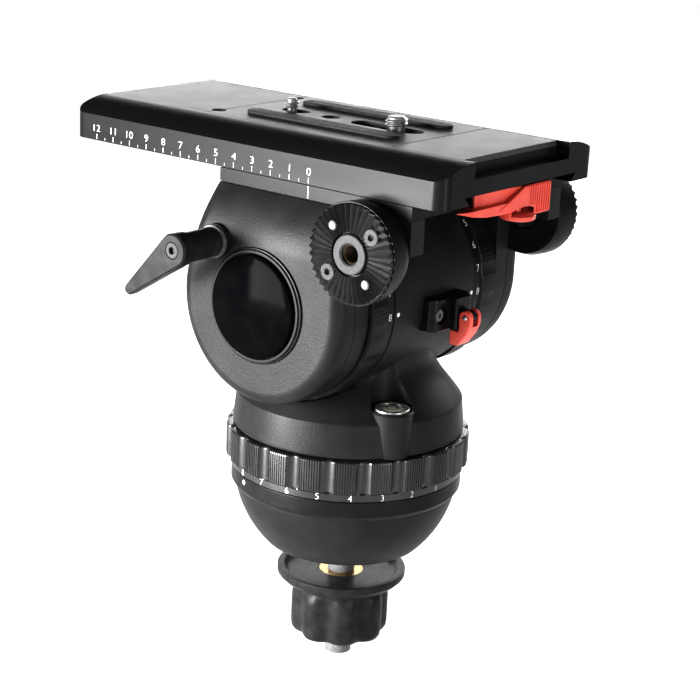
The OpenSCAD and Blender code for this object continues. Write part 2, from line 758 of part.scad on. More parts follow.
module latch_lever() {
    color(red) difference() {
        translate([latch_lug_x - latch_fork_w / 2, latch_pin_y, latch_pin_z]) rotate([90, 0, 90])
            linear_extrude(latch_fork_w) latch_outline();
        translate([latch_lug_x - latch_lug_w / 2 - 0.4, latch_pin_y, latch_pin_z]) along_x()
            cylinder(r = latch_ear_r + 1.6, h = latch_lug_w + 0.8);
        translate([latch_lug_x - latch_fork_w, latch_pin_y, latch_pin_z]) along_x()
            cylinder(r = latch_pin_r + run_fit, h = 2 * latch_fork_w);
    }
}

// Pieces of a lock lever along +X: x = 0 is the face that the washer runs on
module lock_washer() {
    translate([slide_gap, 0, 0]) along_x() tube(lever_washer_r, lever_shaft_r + seat_gap, lever_washer_t);
}

module lock_hub(shaft_l) {
    difference() {
        union() {
            translate([slide_gap + lever_washer_t, 0, 0]) along_x()
                cylinder(r = lever_hub_r, h = lever_hub_l);
            translate([-shaft_l, 0, 0]) along_x() cylinder(r = lever_shaft_r, h = shaft_l + 4);
        }
        translate([slide_gap + lever_washer_t + lever_hub_l - 8, 0, 0]) along_x()
            cylinder(r = 2 + seat_gap, h = 10);
    }
}

module lock_blade() {
    difference() {
        translate([slide_gap + lever_washer_t + lever_hub_l, 0, 0]) rotate([90, 0, 90])
            linear_extrude(blade_t) blade_outline();
        translate([0, 0, 0]) along_x() cylinder(r = 2 + seat_gap, h = 100);
        translate([slide_gap + lever_washer_t + lever_hub_l + blade_t - 2.5, 0, 0]) along_x()
            cylinder(r = 3.5 + seat_gap, h = 10);
    }
}

module lock_screw() {
    translate([slide_gap + lever_washer_t + lever_hub_l, 0, 0]) {
        translate([-7.5, 0, 0]) along_x() cylinder(r = 2, h = blade_t + 5.5);
        translate([blade_t - 2.5, 0, 0]) along_x() cylinder(r = 3.5, h = 2.7);
    }
}

// Puts a lock lever on the left cheek, its blade pointing forward and down
module on_left_cheek() {
    translate([-cheek_out - lever_boss_h, lever_y, lever_z]) mirror([1, 0, 0]) children();
}

// Puts a lock lever on the panning body's band
module on_band() {
    rotate([0, 0, pan_lock_angle]) translate([band_r, 0, pan_lock_z]) children();
}

module tilt_lock_hub() {
    color(black) on_left_cheek() lock_hub(lever_shaft_l);
}

module tilt_lock_washer() {
    color(steel) on_left_cheek() lock_washer();
}

module tilt_lock_blade() {
    color(black) on_left_cheek() rotate([-blade_angle, 0, 0]) lock_blade();
}

module tilt_lock_screw() {
    color(steel) on_left_cheek() lock_screw();
}

module pan_lock_hub() {
    color(black) on_band() lock_hub(lever_shaft_l);
}

module pan_lock_washer() {
    color(steel) on_band() lock_washer();
}

module pan_lock_blade() {
    color(black) on_band() rotate([150, 0, 0]) lock_blade();
}

module pan_lock_screw() {
    color(steel) on_band() lock_screw();
}

// Half outline of a cheek above the tilt axis, in the Y-Z plane
module cheek_outline() {
    r = cheek_r - 0.2;
    d = sqrt(plat_front * plat_front + (plat_bot - tilt_z) * (plat_bot - tilt_z));
    t = atan2(plat_bot - tilt_z, plat_front) - acos(r / d);
    polygon([[r * cos(t), tilt_z + r * sin(t)], [plat_front, plat_bot],
             [-r, plat_bot], [-r, tilt_z], [0, tilt_z - 5]]);
}

// What is cut off the cheek's upper part: all that lies outside a large cylinder along Y
module cheek_lean() {
    difference() {
        translate([cheek_out - lean_r, -2 * cheek_r, flare_z]) cube([2 * lean_r, 4 * cheek_r, lean_up + 1]);
        translate([cheek_out - lean_r + lean_start, 0, flare_z]) rotate([90, 0, 0])
            cylinder(r = lean_r, h = 6 * cheek_r, center = true);
    }
}

// The right-hand cheek; the left one is its mirror image
module cheek_shell() {
    difference() {
        union() {
            difference() {
                union() {
                    translate([cheek_in, 0, tilt_z]) along_x() rotate_extrude() {
                        square([cheek_r - cheek_round, cheek_t]);
                        square([cheek_r, cheek_t - cheek_round]);
                        translate([cheek_r - cheek_round, cheek_t - cheek_round]) intersection() {
                            circle(r = cheek_round);
                            square(cheek_round);
                        }
                    }
                    translate([cheek_in, 0, 0]) rotate([90, 0, 90]) linear_extrude(cheek_t) cheek_outline();
                }
                cheek_lean();
            }
            translate([cheek_in, plat_rear + slide_gap, rosette_z])
                cube([cover_seam - cheek_in, -plat_rear - 0.9 * cheek_r, plat_bot - rosette_z]);
            difference() {
                translate([cheek_in, rosette_y, rosette_z]) along_x()
                    cylinder(r = rosette_boss_r, h = rosette_seat - cheek_in);
                translate([0, -4 * cheek_r, plat_bot])
                    cube([plat_w / 2 + face_gap, 8 * cheek_r, plat_h + plate_h]);
            }
        }
        translate([cheek_in - 1, 0, tilt_z]) along_x()
            cylinder(r = cheek_bearing_r + seat_gap, h = cheek_bearing_w + 3);
        translate([cheek_in, 0, tilt_z]) along_x() cylinder(r = shaft_r + 1, h = cheek_t);
        translate([cap_seat, 0, tilt_z]) along_x() cylinder(r = cap_r + seat_gap, h = 20);
        translate([rosette_seat - 10, rosette_y, rosette_z]) along_x()
            cylinder(r = insert_r + seat_gap, h = 20);
        for (a = rosette_screw_turns) rosette_spot(a) translate([rosette_seat - 9, 0, 0]) along_x()
            cylinder(r = 2 + seat_gap, h = 20);
        for (a = rosette_pin_turns) rosette_spot(a) translate([rosette_seat - 6, 0, 0]) along_x()
            cylinder(r = rosette_pin_r + seat_gap, h = 20);
        for (y = screw_ys) translate([screw_x, y, plat_bot - cheek_screw_in])
            cylinder(r = cheek_screw_r + seat_gap, h = cheek_screw_in + plat_h);
    }
}
screw_x = cheek_in + cheek_land / 2;
screw_ys = [plat_front - 0.14 * plat_len, plat_front - 0.565 * plat_len];
cheek_screw_r = sqrt(cheek_screw_share * cheek_land / PI);
cheek_head_r = 0.44 * cheek_land;
cheek_head_h = 0.55 * plat_h;
cheek_head_sink = 0.04 * plat_h;
rosette_pin_turns = [rosette_turn, rosette_turn + 180];
rosette_screw_turns = [rosette_turn + 90, rosette_turn + 270];

// Places a shape on the rosette's circle of screws and pins
module rosette_spot(a) {
    translate([0, rosette_y + rosette_pcr * cos(a), rosette_z + rosette_pcr * sin(a)]) children();
}

// The cheek's arm: what lies inside its seam
module cheek_arm() {
    intersection() {
        cheek_shell();
        translate([0, -cover_seam * 3, 0]) cube([cover_seam, cover_seam * 6, plate_top]);
    }
}

// The cheek's outer cover
module cheek_cover() {
    intersection() {
        cheek_shell();
        translate([cover_seam + seat_gap, -cover_seam * 3, 0]) cube([cover_seam, cover_seam * 6, plate_top]);
    }
}

module right_cheek() {
    color(black) cheek_arm();
}

module right_cover() {
    color(black) cheek_cover();
}

module left_cheek() {
    color(black) difference() {
        mirror([1, 0, 0]) cheek_arm();
        translate([-cheek_out - cheek_t, lever_y, lever_z]) along_x()
            cylinder(r = lever_shaft_r + run_fit, h = cheek_t + lever_shaft_l);
    }
}

module left_cover() {
    color(black) difference() {
        union() {
            mirror([1, 0, 0]) cheek_cover();
            translate([-cheek_out - lever_boss_h, lever_y, lever_z]) along_x()
                cylinder(r = lever_boss_r, h = lever_boss_h + lean_in / 3);
        }
        translate([-cheek_out - cheek_t, lever_y, lever_z]) along_x()
            cylinder(r = lever_shaft_r + run_fit, h = cheek_t + lever_shaft_l);
    }
}

module cheek_bearings() {
    color(steel) both_sides() translate([cheek_in + 2, 0, tilt_z]) along_x()
        tube(cheek_bearing_r, shaft_r + run_fit, cheek_bearing_w);
}

module cheek_screws() {
    color(steel) both_sides() for (y = screw_ys) {
        translate([screw_x, y, plat_bot - cheek_screw_in])
            cylinder(r = cheek_screw_r, h = cheek_screw_in + plat_h - cheek_head_h);
        translate([screw_x, y, plat_top - cheek_head_h - cheek_head_sink])
            cylinder(r = cheek_head_r, h = cheek_head_h);
    }
}

module cap_bezels() {
    color(black) both_sides() translate([cheek_out, 0, tilt_z]) along_x() rotate_extrude()
        polygon([[cap_r + seat_gap, 0], [cap_r + bezel_w, 0], [cap_r + bezel_w - 0.4, 0.8],
                 [cap_r + bezel_w - 1, 0.8], [cap_r + bezel_w - 1.4, bezel_out - cheek_out],
                 [cap_r + seat_gap, bezel_out - cheek_out]]);
}

module side_caps() {
    dome_r = (cap_r * cap_r + cap_dome * cap_dome) / (2 * cap_dome);
    color(black) both_sides() translate([cap_seat, 0, tilt_z]) along_x() rotate_extrude() intersection() {
        square([cap_r, 40]);
        translate([0, cap_rim - cap_seat + cap_dome - dome_r]) circle(r = dome_r);
    }
}

module rosettes() {
    color(black) both_sides() difference() {
        translate([rosette_seat, rosette_y, rosette_z]) along_x()
            tube(rosette_r, insert_r + seat_gap, rosette_t);
        for (a = rosette_screw_turns) rosette_spot(a) translate([rosette_seat - 1, 0, 0]) along_x()
            cylinder(r = 2 + seat_gap, h = 20);
        for (a = rosette_screw_turns) rosette_spot(a) translate([rosette_seat + 0.8, 0, 0]) along_x()
            cylinder(r = rosette_head_r + seat_gap, h = 20);
        for (a = rosette_pin_turns) rosette_spot(a) translate([rosette_seat - 1, 0, 0]) along_x()
            cylinder(r = rosette_pin_r + seat_gap, h = 20);
    }
}

module rosette_inserts() {
    color(grey) both_sides() translate([rosette_seat - 10, rosette_y, rosette_z]) along_x()
        tube(insert_r, insert_hole_r, 10 + rosette_t);
}

module rosette_screws() {
    color(steel) both_sides() for (a = rosette_screw_turns) rosette_spot(a) {
        translate([rosette_seat - 9, 0, 0]) along_x() cylinder(r = 2, h = 10.5);
        translate([rosette_seat + 0.8, 0, 0]) along_x() cylinder(r = rosette_head_r, h = rosette_t - 0.8);
    }
}

module rosette_pins() {
    color(steel) both_sides() for (a = rosette_pin_turns) rosette_spot(a)
        translate([rosette_seat - 6, 0, 0]) along_x() cylinder(r = rosette_pin_r, h = 6 + rosette_t + 0.2);
}

// Cross-section of the platform's dovetail, grown by a gap for the plate's channel
module tongue_section(gap, extra) {
    polygon([[-tongue_w - gap, plat_top - extra], [tongue_w + gap, plat_top - extra],
             [tongue_w + gap, plat_top], [tongue_w + tongue_h + gap, plat_top + tongue_h],
             [-tongue_w - tongue_h - gap, plat_top + tongue_h], [-tongue_w - gap, plat_top]]);
}

module platform() {
    color(grey) difference() {
        union() {
            difference() {
                translate([-plat_w / 2, plat_rear, plat_bot]) cube([plat_w, plat_len, plat_h]);
                translate([notch_left, plat_rear - 1, plat_bot - 1])
                    cube([notch_right - notch_left, notch_depth + 1, plat_h + 2]);
            }
            translate([0, plat_front, 0]) rotate([90, 0, 0]) linear_extrude(plat_front - notch_y)
                tongue_section(0, 1);
            translate([clamp_x, clamp_y, plat_bot]) cylinder(r = lug_r, h = plat_h);
            translate([clamp_x - lug_r + 1, clamp_y, plat_bot])
                cube([2 * lug_r - 2, notch_y - clamp_y + 1, plat_h]);
        }
        translate([clamp_x, clamp_y, plat_bot - 1]) cylinder(r = clamp_pin_r + seat_gap, h = plat_h + 2);
        for (s = [-1, 1]) for (y = screw_ys) translate([s * screw_x, y, plat_bot - 1]) {
            cylinder(r = cheek_screw_r + seat_gap, h = plat_h + 2);
            translate([0, 0, plat_h + 1 - cheek_head_h - cheek_head_sink])
                cylinder(r = cheek_head_r + seat_gap, h = 2 * plat_h);
        }
    }
}

module clamp_pin() {
    color(steel) translate([clamp_x, clamp_y, button_room + face_gap])
        cylinder(r = clamp_pin_r, h = plat_top - 0.2 - button_room - face_gap);
}

// The clamp lever's pointed leaf: its plan, and its side view that thins out to the tip
module clamp_leaf_piece() {
    intersection() {
        translate([clamp_x, clamp_y, clamp_foot]) linear_extrude(clamp_hub_h)
            polygon([[0, 0.6 * clamp_hub_r], [-clamp_leaf, 3 - clamp_reach], [-clamp_leaf, 2 - clamp_reach],
                     [-0.82 * clamp_leaf, -clamp_reach], [0, -clamp_reach]]);
        translate([clamp_x, clamp_y + clamp_reach, clamp_top]) rotate([90, 0, 0])
            linear_extrude(3 * clamp_reach)
                polygon([[-clamp_leaf - 1, -0.1 * clamp_hub_h], [-0.875 * clamp_leaf, -0.37 * clamp_hub_h],
                         [-0.69 * clamp_leaf, -0.67 * clamp_hub_h], [-0.43 * clamp_leaf, -0.87 * clamp_hub_h],
                         [1, -clamp_hub_h - 1], [1, 1], [-clamp_leaf - 1, 1]]);
    }
}

module clamp_lever() {
    color(red) difference() {
        union() {
            translate([clamp_x, clamp_y, clamp_foot]) cylinder(r = clamp_hub_r, h = clamp_hub_h);
            clamp_leaf_piece();
            translate([clamp_x - clamp_hub_r, clamp_face, clamp_foot])
                cube([clamp_hub_r + tab_in + clamp_tab, clamp_reach, clamp_hub_h]);
            translate([clamp_x - clamp_wall_l, clamp_face, clamp_top - 1])
                cube([clamp_wall_l + tab_in + clamp_tab, clamp_wall_t, lever_high - clamp_top + 1]);
            translate([clamp_x + tab_in, clamp_face, tab_foot])
                cube([clamp_tab, 2.2 * clamp_wall_t, lever_high - tab_foot]);
        }
        translate([clamp_x, clamp_y, clamp_foot - 1])
            cylinder(r = clamp_pin_r + run_fit, h = clamp_hub_h + 2);
        translate([clamp_x, clamp_y, clamp_top]) cylinder(r = lug_r + face_gap, h = 3 * plat_h);
        translate([clamp_x, button_y, tab_foot - 5])
            cylinder(r = button_r + 0.6, h = button_room - tab_foot + 5);
        translate([clamp_x, button_y, tab_foot])
            cylinder(r = button_stem_r + run_fit, h = stem_hole - tab_foot);
    }
}

module clamp_button() {
    color(red) union() {
        translate([clamp_x, button_y, button_top - button_t]) cylinder(r = button_r, h = button_t);
        translate([clamp_x, button_y, button_top - 1])
            cylinder(r = button_stem_r, h = stem_top - button_top + 1);
    }
}

// Cross-section of the camera plate, standing on its own underside
module plate_section() {
    dx = plate_w / 2 - panel_w;
    dz = plate_h - plate_side_h;
    r = (dx * dx + dz * dz) / (2 * dz);
    difference() {
        union() {
            translate([-panel_w, plate_bot]) square([2 * panel_w, plate_h]);
            for (s = [-1, 1]) intersection() {
                translate([s * panel_w, plate_top - r]) circle(r = r);
                translate([s > 0 ? panel_w : -plate_w / 2, plate_bot]) square([dx, plate_h]);
            }
        }
        translate([0, slide_gap]) tongue_section(slide_gap, 4);
        translate([-panel_w, panel_floor]) square([2 * panel_w, panel_t + 1]);
    }
}

// Plan of the camera plate with its round corners
module plate_plan() {
    c = plate_round - 0.15;
    translate([0, (plate_front + plate_rear) / 2]) intersection() {
        square([plate_w, plate_len], center = true);
        union() {
            square([plate_w + 2, plate_len - 2 * c], center = true);
            square([plate_w - 2 * c, plate_len + 2], center = true);
            for (s = [-1, 1]) for (t = [-1, 1])
                translate([s * (plate_w / 2 - c), t * (plate_len / 2 - c)]) circle(r = plate_round);
        }
    }
}
big_slot_y = big_screw_y + big_screw_r;
small_slot_y = small_screw_y - small_slot / 2 + small_screw_r + 1.5;

// Slots of the two camera screws, with the pockets that their heads slide in
module screw_slots() {
    translate([0, big_slot_y, plate_bot]) linear_extrude(40)
        slot_outline(big_slot, big_screw_r + shank_gap);
    translate([0, small_slot_y, plate_bot]) linear_extrude(40)
        slot_outline(small_slot, small_screw_r + shank_gap);
    translate([0, big_slot_y, plate_bot]) linear_extrude(pocket_top - plate_bot)
        slot_outline(big_slot + 2 * (big_head_r - big_screw_r), big_head_r + shank_gap);
    translate([0, small_slot_y, plate_bot]) linear_extrude(pocket_top - plate_bot)
        slot_outline(small_slot + 2 * (small_head_r - small_screw_r), small_head_r + shank_gap);
}

module camera_plate() {
    color(black) difference() {
        intersection() {
            translate([0, plate_front, 0]) rotate([90, 0, 0]) linear_extrude(plate_len) plate_section();
            translate([0, 0, plate_bot - 1]) linear_extrude(plate_h + 2) plate_plan();
        }
        screw_slots();
        translate([-panel_w, plate_rear - 1, plate_bot + 10]) cube([2 * panel_w, panel_back + 1, plate_h]);
    }
}

// One stretch of the top panel between two places along the plate
module panel_piece(y0, y1) {
    translate([-panel_w + 0.25, y0 + 0.15, panel_floor]) cube([2 * panel_w - 0.5, y1 - y0 - 0.3, panel_t]);
}

module top_panels() {
    color(grey) difference() {
        union() {
            panel_piece(panel_rear, seam_rear);
            panel_piece(seam_rear, seam_front);
            panel_piece(seam_front, plate_front - 0.3);
        }
        screw_slots();
        for (s = [-1, 1]) translate([s * 26, seam_front, plate_top - 1.2]) cylinder(r = 3.2, h = 5);
        translate([0, (big_slot_y + big_slot / 2 + small_slot_y - small_slot / 2) / 2, plate_top - 1.6])
            cylinder(r = 4, h = 5);
    }
}

module grip_strips() {
    color(rubber) for (s = [-1, 1]) translate([s * strip_x, strip_y, plate_top])
        linear_extrude(strip_h) slot_outline(strip_len, strip_w / 2);
}

// A camera screw's sliding washer, round the screw's relieved neck
module carrier(y, screw_r, head_r) {
    translate([0, y, carrier_foot]) tube(head_r, screw_r - neck_relief + run_fit, carrier_t);
}

// A captive camera screw: a flat head below the slot, a thinner neck and the threaded end
module camera_screw(y, screw_r, head_r) {
    translate([0, y, head_foot]) cylinder(r = head_r, h = head_h);
    translate([0, y, head_foot]) cylinder(r = screw_r - neck_relief, h = screw_top - head_foot - 1);
    translate([0, y, thread_foot]) cylinder(r = screw_r, h = screw_top - thread_foot);
}

module big_carrier() {
    color(steel) carrier(big_screw_y, big_screw_r, big_head_r);
}

module big_screw() {
    color(steel) camera_screw(big_screw_y, big_screw_r, big_head_r);
}

module small_carrier() {
    color(steel) carrier(small_screw_y, small_screw_r, small_head_r);
}

module small_screw() {
    color(steel) camera_screw(small_screw_y, small_screw_r, small_head_r);
}

half_ball();
base_ring();
pan_spindle();
spindle_nut();
pan_drag_core();
pan_drag_discs();
tie_down_stud();
base_screws();
tie_down_knob();
tie_down_cup();
tie_down_nut();
pan_drag_ring();
pan_body();
pan_bearings();
tilt_shaft();
tilt_drag_discs();
balance_pack();
level_bezel();
level_vial();
latch_bracket();
latch_screw();
latch_pin();
lamp_button();
pan_lock_hub();
pan_lock_washer();
pan_lock_blade();
pan_lock_screw();
tilt_drag_ring();
balance_ring();
latch_lever();
platform();
left_cheek();
right_cheek();
left_cover();
right_cover();
cheek_bearings();
cheek_screws();
cap_bezels();
side_caps();
rosettes();
rosette_inserts();
rosette_screws();
rosette_pins();
clamp_pin();
tilt_lock_hub();
tilt_lock_washer();
tilt_lock_blade();
tilt_lock_screw();
clamp_lever();
clamp_button();
camera_plate();
top_panels();
grip_strips();
big_carrier();
big_screw();
small_carrier();
small_screw();
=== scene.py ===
# %% [markdown]
# # A fluid head
# A fluid head carries a film camera. It pans on its foot, tilts between two cheeks and holds the camera on a long
# sliding plate. The CAD frame already gives every piece its place and every joint its axis.
# The lesson dresses that frame: each visible piece is modelled again with the edges, ribs, teeth and threads of
# the real one, and each gets a finish made of shader nodes.

# %% Load the CAD frame
import math

import bmesh
import bpy
from mathutils import Matrix, Vector


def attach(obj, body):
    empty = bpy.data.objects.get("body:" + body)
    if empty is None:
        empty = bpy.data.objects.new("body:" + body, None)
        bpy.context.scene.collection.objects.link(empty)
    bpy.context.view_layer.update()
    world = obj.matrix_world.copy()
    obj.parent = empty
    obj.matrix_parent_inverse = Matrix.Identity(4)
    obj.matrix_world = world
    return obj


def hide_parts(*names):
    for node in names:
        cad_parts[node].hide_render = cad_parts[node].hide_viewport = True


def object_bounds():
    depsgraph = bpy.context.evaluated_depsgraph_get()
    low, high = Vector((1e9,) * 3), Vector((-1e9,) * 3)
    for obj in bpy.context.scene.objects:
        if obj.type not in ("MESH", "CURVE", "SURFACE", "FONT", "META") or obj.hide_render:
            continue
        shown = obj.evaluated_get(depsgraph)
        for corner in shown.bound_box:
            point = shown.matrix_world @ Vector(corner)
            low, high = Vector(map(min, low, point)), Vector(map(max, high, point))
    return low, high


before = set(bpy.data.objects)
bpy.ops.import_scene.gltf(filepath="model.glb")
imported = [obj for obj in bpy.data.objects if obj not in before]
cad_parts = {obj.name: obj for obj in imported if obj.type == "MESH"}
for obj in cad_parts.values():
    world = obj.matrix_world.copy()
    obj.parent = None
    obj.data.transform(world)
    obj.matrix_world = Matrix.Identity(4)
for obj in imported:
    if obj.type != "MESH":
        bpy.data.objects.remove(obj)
cad_box = [list(corner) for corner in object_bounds()]
scene = bpy.context.scene

# %% [markdown]
# ## The camera
# The photograph was taken from the head's left rear, a little above the plate. The place and the three angles
# come from matching points on the plate, the rings and the cheeks. A camera could also be aimed with a
# Track To constraint, but a matrix keeps the small roll that the photograph has.

# %% Camera
def placed(name, data):
    """Puts an object into the scene."""
    thing = bpy.data.objects.new(name, data)
    scene.collection.objects.link(thing)
    return thing


eye = Vector((-0.606707, -0.469874, 0.283969))
yaw, pitch, roll = (math.radians(a) for a in (37.80698, 16.86812, -2.71685))
focal_length, sensor_width, nearest = 94.097, 36, 0.01
ahead = Vector((math.cos(pitch) * math.cos(yaw), math.cos(pitch) * math.sin(yaw), -math.sin(pitch)))
level = Vector((math.sin(yaw), -math.cos(yaw), 0))
down = ahead.cross(level)
across = level * math.cos(roll) + down * math.sin(roll)
down = down * math.cos(roll) - level * math.sin(roll)
lens = bpy.data.cameras.new("camera")
lens.lens, lens.sensor_width, lens.clip_start = focal_length, sensor_width, nearest
camera = placed("camera", lens)
camera.matrix_world = Matrix.Translation(eye) @ Matrix((across, -down, -ahead)).transposed().to_4x4()
scene.camera = camera
print("camera", round(eye.length, 3), "m from the half ball")

# %% [markdown]
# ## The floor
# The floor is a plain pale sheet just under the tie-down stud. A grid of one face is enough for it. It glows a
# little, like a light table, because the photograph has no shadow and lights the undersides softly.

# %% Floor
def as_mesh(name, bm):
    """Turns a bmesh into a mesh and frees it."""
    mesh = bpy.data.meshes.new(name)
    bm.to_mesh(mesh)
    bm.free()
    return mesh


def set_sockets(node, **values):
    """Sets a node's inputs by name, with _ for a space."""
    for socket, value in values.items():
        node.inputs[socket.replace("_", " ")].default_value = value


floor_z = cad_box[0][2] - 0.0005
bm = bmesh.new()
bmesh.ops.create_grid(bm, x_segments=1, y_segments=1, size=6)
bmesh.ops.translate(bm, vec=(0, 0, floor_z), verts=bm.verts)
floor = placed("floor", as_mesh("floor", bm))
pale = bpy.data.materials.new("pale_floor")
pale.use_nodes = True
set_sockets(pale.node_tree.nodes["Principled BSDF"], Base_Color=(0.35, 0.35, 0.35, 1), Roughness=0.8,
            Emission_Color=(1, 1, 1, 1), Emission_Strength=0.95)
floor.data.materials.append(pale)
print("floor at", round(floor_z * 1000, 1), "mm")

# %% [markdown]
# ## The light
# Black pieces show their form only through what they mirror, so the light comes from four soft boxes in a dim
# room with a white back wall. The left box draws the sheen on the cheek and the plate's side, the front and the
# right box are mirrored in the plate's top, and the narrow strip draws bright lines on round corners. One large
# bright box could light it all, but it would grey every black; a gamma below 1 keeps the darks deep.

# %% Lights
def softbox(name, place, aim, wide, high, power):
    """A soft rectangular light that looks at a point."""
    light = bpy.data.lights.new(name, "AREA")
    light.shape, light.size, light.size_y, light.energy = "RECTANGLE", wide, high, power
    box = placed(name, light)
    look = (Vector(aim) - Vector(place)).to_track_quat("-Z", "Y").to_matrix().to_4x4()
    box.matrix_world = Matrix.Translation(place) @ look
    box.visible_camera = False


seen_by_pieces, seen_by_camera = 0.12, 1.0
room = bpy.data.worlds.new("white_room")
room.use_nodes = True
nodes, links = room.node_tree.nodes, room.node_tree.links
wall, path, dim = nodes["Background"], nodes.new("ShaderNodeLightPath"), nodes.new("ShaderNodeMapRange")
set_sockets(dim, To_Min=seen_by_pieces, To_Max=seen_by_camera)
set_sockets(wall, Color=(1, 1, 1, 1))
links.new(path.outputs["Is Camera Ray"], dim.inputs["Value"])
links.new(dim.outputs["Result"], wall.inputs["Strength"])
scene.world = room
scene.view_settings.view_transform, scene.view_settings.gamma = "Standard", 0.78
softbox("left_box", (-0.85, 0.38, 0.10), (-0.05, -0.03, 0.09), 0.4, 0.4, 53)
softbox("front_box", (0.86, 0.82, 0.27), (0, 0, 0.15), 1.1, 0.24, 11)
softbox("right_box", (0.95, 0.02, 0.50), (0, 0, 0.08), 0.6, 0.4, 9)
softbox("strip_box", (-0.16, -0.95, 0.12), (0, 0, 0.1), 0.09, 0.4, 6)

# %% [markdown]
# ## Finishes
# A finish starts as Blender's Principled shader. Noise in object coordinates, in metres, breaks up its colour and
# roughness and gives it a fine bump, because a surface of one flat value looks like a drawing. Every grain
# is given in millimetres here, so the powder coat, the blasted panel and the moulded plastic keep their scale.

# %% Helpers for finishes
class Finish:
    """A material with noise-driven colour, roughness and bump."""

    def __init__(self, name, rough, **sockets):
        self.made = bpy.data.materials.new(name)
        self.made.use_nodes = True
        self.nodes, self.links = self.made.node_tree.nodes, self.made.node_tree.links
        self.shader = self.nodes["Principled BSDF"]
        self.place = self.nodes.new("ShaderNodeTexCoord").outputs["Object"]
        set_sockets(self.shader, **sockets)
        self.rough = rough

    def grain(self, size, detail=2.0, stretch=None):
        """Noise with grains of about this many millimetres."""
        noise = self.nodes.new("ShaderNodeTexNoise")
        set_sockets(noise, Scale=1000 / size, Detail=detail)
        place = self.place
        if stretch:
            mapping = self.nodes.new("ShaderNodeMapping")
            set_sockets(mapping, Scale=stretch)
            self.links.new(place, mapping.inputs["Vector"])
            place = mapping.outputs["Vector"]
        self.links.new(place, noise.inputs["Vector"])
        return noise.outputs["Fac"]

    def spread(self, factor, low, high):
        """Spreads the middle of a noise over two values."""
        ramp = self.nodes.new("ShaderNodeMapRange")
        set_sockets(ramp, From_Min=0.32, From_Max=0.68, To_Min=low, To_Max=high)
        self.links.new(factor, ramp.inputs["Value"])
        return ramp.outputs["Result"]

    def colour(self, dark, light, size, detail=2.0, stretch=None):
        """Patches of two colours, so many millimetres large."""
        blend = self.nodes.new("ShaderNodeMix")
        blend.data_type = "RGBA"
        set_sockets(blend, A=(*dark, 1), B=(*light, 1))
        self.links.new(self.spread(self.grain(size, detail, stretch), 0, 1), blend.inputs["Factor"])
        self.links.new(blend.outputs["Result"], self.shader.inputs["Base Color"])
        return self

    def sheen(self, size, stretch=None):
        """Patches of two roughnesses."""
        patches = self.spread(self.grain(size, stretch=stretch), *self.rough)
        self.links.new(patches, self.shader.inputs["Roughness"])
        return self

    def bump(self, size, depth, strength, height=None):
        """A bump of so many millimetres, from noise or from another height."""
        rise = self.nodes.new("ShaderNodeBump")
        set_sockets(rise, Strength=strength, Distance=depth / 1000)
        self.links.new(height or self.grain(size, 3.0), rise.inputs["Height"])
        self.links.new(rise.outputs["Normal"], self.shader.inputs["Normal"])
        return self

    def rings(self, centre, axis, pitch):
        """Turning marks round a centre given in millimetres."""
        mapping = self.nodes.new("ShaderNodeMapping")
        set_sockets(mapping, Location=[-c / 1000 for c in centre])
        wave = self.nodes.new("ShaderNodeTexWave")
        wave.wave_type, wave.rings_direction = "RINGS", axis
        set_sockets(wave, Scale=1000 / pitch / 20, Distortion=0.4)
        self.links.new(self.place, mapping.inputs["Vector"])
        self.links.new(mapping.outputs["Vector"], wave.inputs["Vector"])
        return wave.outputs["Fac"]


print("steps of a finish:", [step for step in vars(Finish) if not step.startswith("_")])

# %% Black finishes
cast_black = (Finish("cast_black", (0.42, 0.50), Specular_IOR_Level=0.16)
              .colour((0.009, 0.009, 0.0095), (0.014, 0.014, 0.0145), 14).sheen(22).bump(0.9, 0.10, 0.9).made)
ring_black = (Finish("ring_black", (0.34, 0.44), Specular_IOR_Level=0.14)
              .colour((0.005, 0.005, 0.0055), (0.009, 0.009, 0.0095), 9).sheen(6).bump(0.35, 0.012, 0.5).made)
plate_black = (Finish("plate_black", (0.32, 0.38), Specular_IOR_Level=0.10)
               .colour((0.006, 0.006, 0.0063), (0.010, 0.010, 0.0105), 30, stretch=(1, 0.2, 1))
               .sheen(7, stretch=(1, 0.1, 1)).bump(0.3, 0.01, 0.5).made)
latch_black = (Finish("latch_black", (0.16, 0.26), Specular_IOR_Level=0.15)
               .colour((0.004, 0.004, 0.004), (0.008, 0.008, 0.008), 5).sheen(4).bump(0.5, 0.008, 0.5).made)
grip_black = (Finish("grip_black", (0.28, 0.36), Specular_IOR_Level=0.6)
              .colour((0.008, 0.008, 0.0085), (0.014, 0.014, 0.0145), 5).sheen(4).bump(0.35, 0.01, 0.5).made)
lever_black = (Finish("lever_black", (0.36, 0.46), Specular_IOR_Level=0.10)
               .colour((0.012, 0.012, 0.013), (0.022, 0.022, 0.023), 5).sheen(4).bump(0.4, 0.02, 0.7).made)
gloss_black = (Finish("gloss_black", (0.08, 0.14), Specular_IOR_Level=0.006)
               .colour((0.0015, 0.0015, 0.002), (0.003, 0.003, 0.0035), 10).sheen(9).made)
print("finishes:", len(bpy.data.materials))

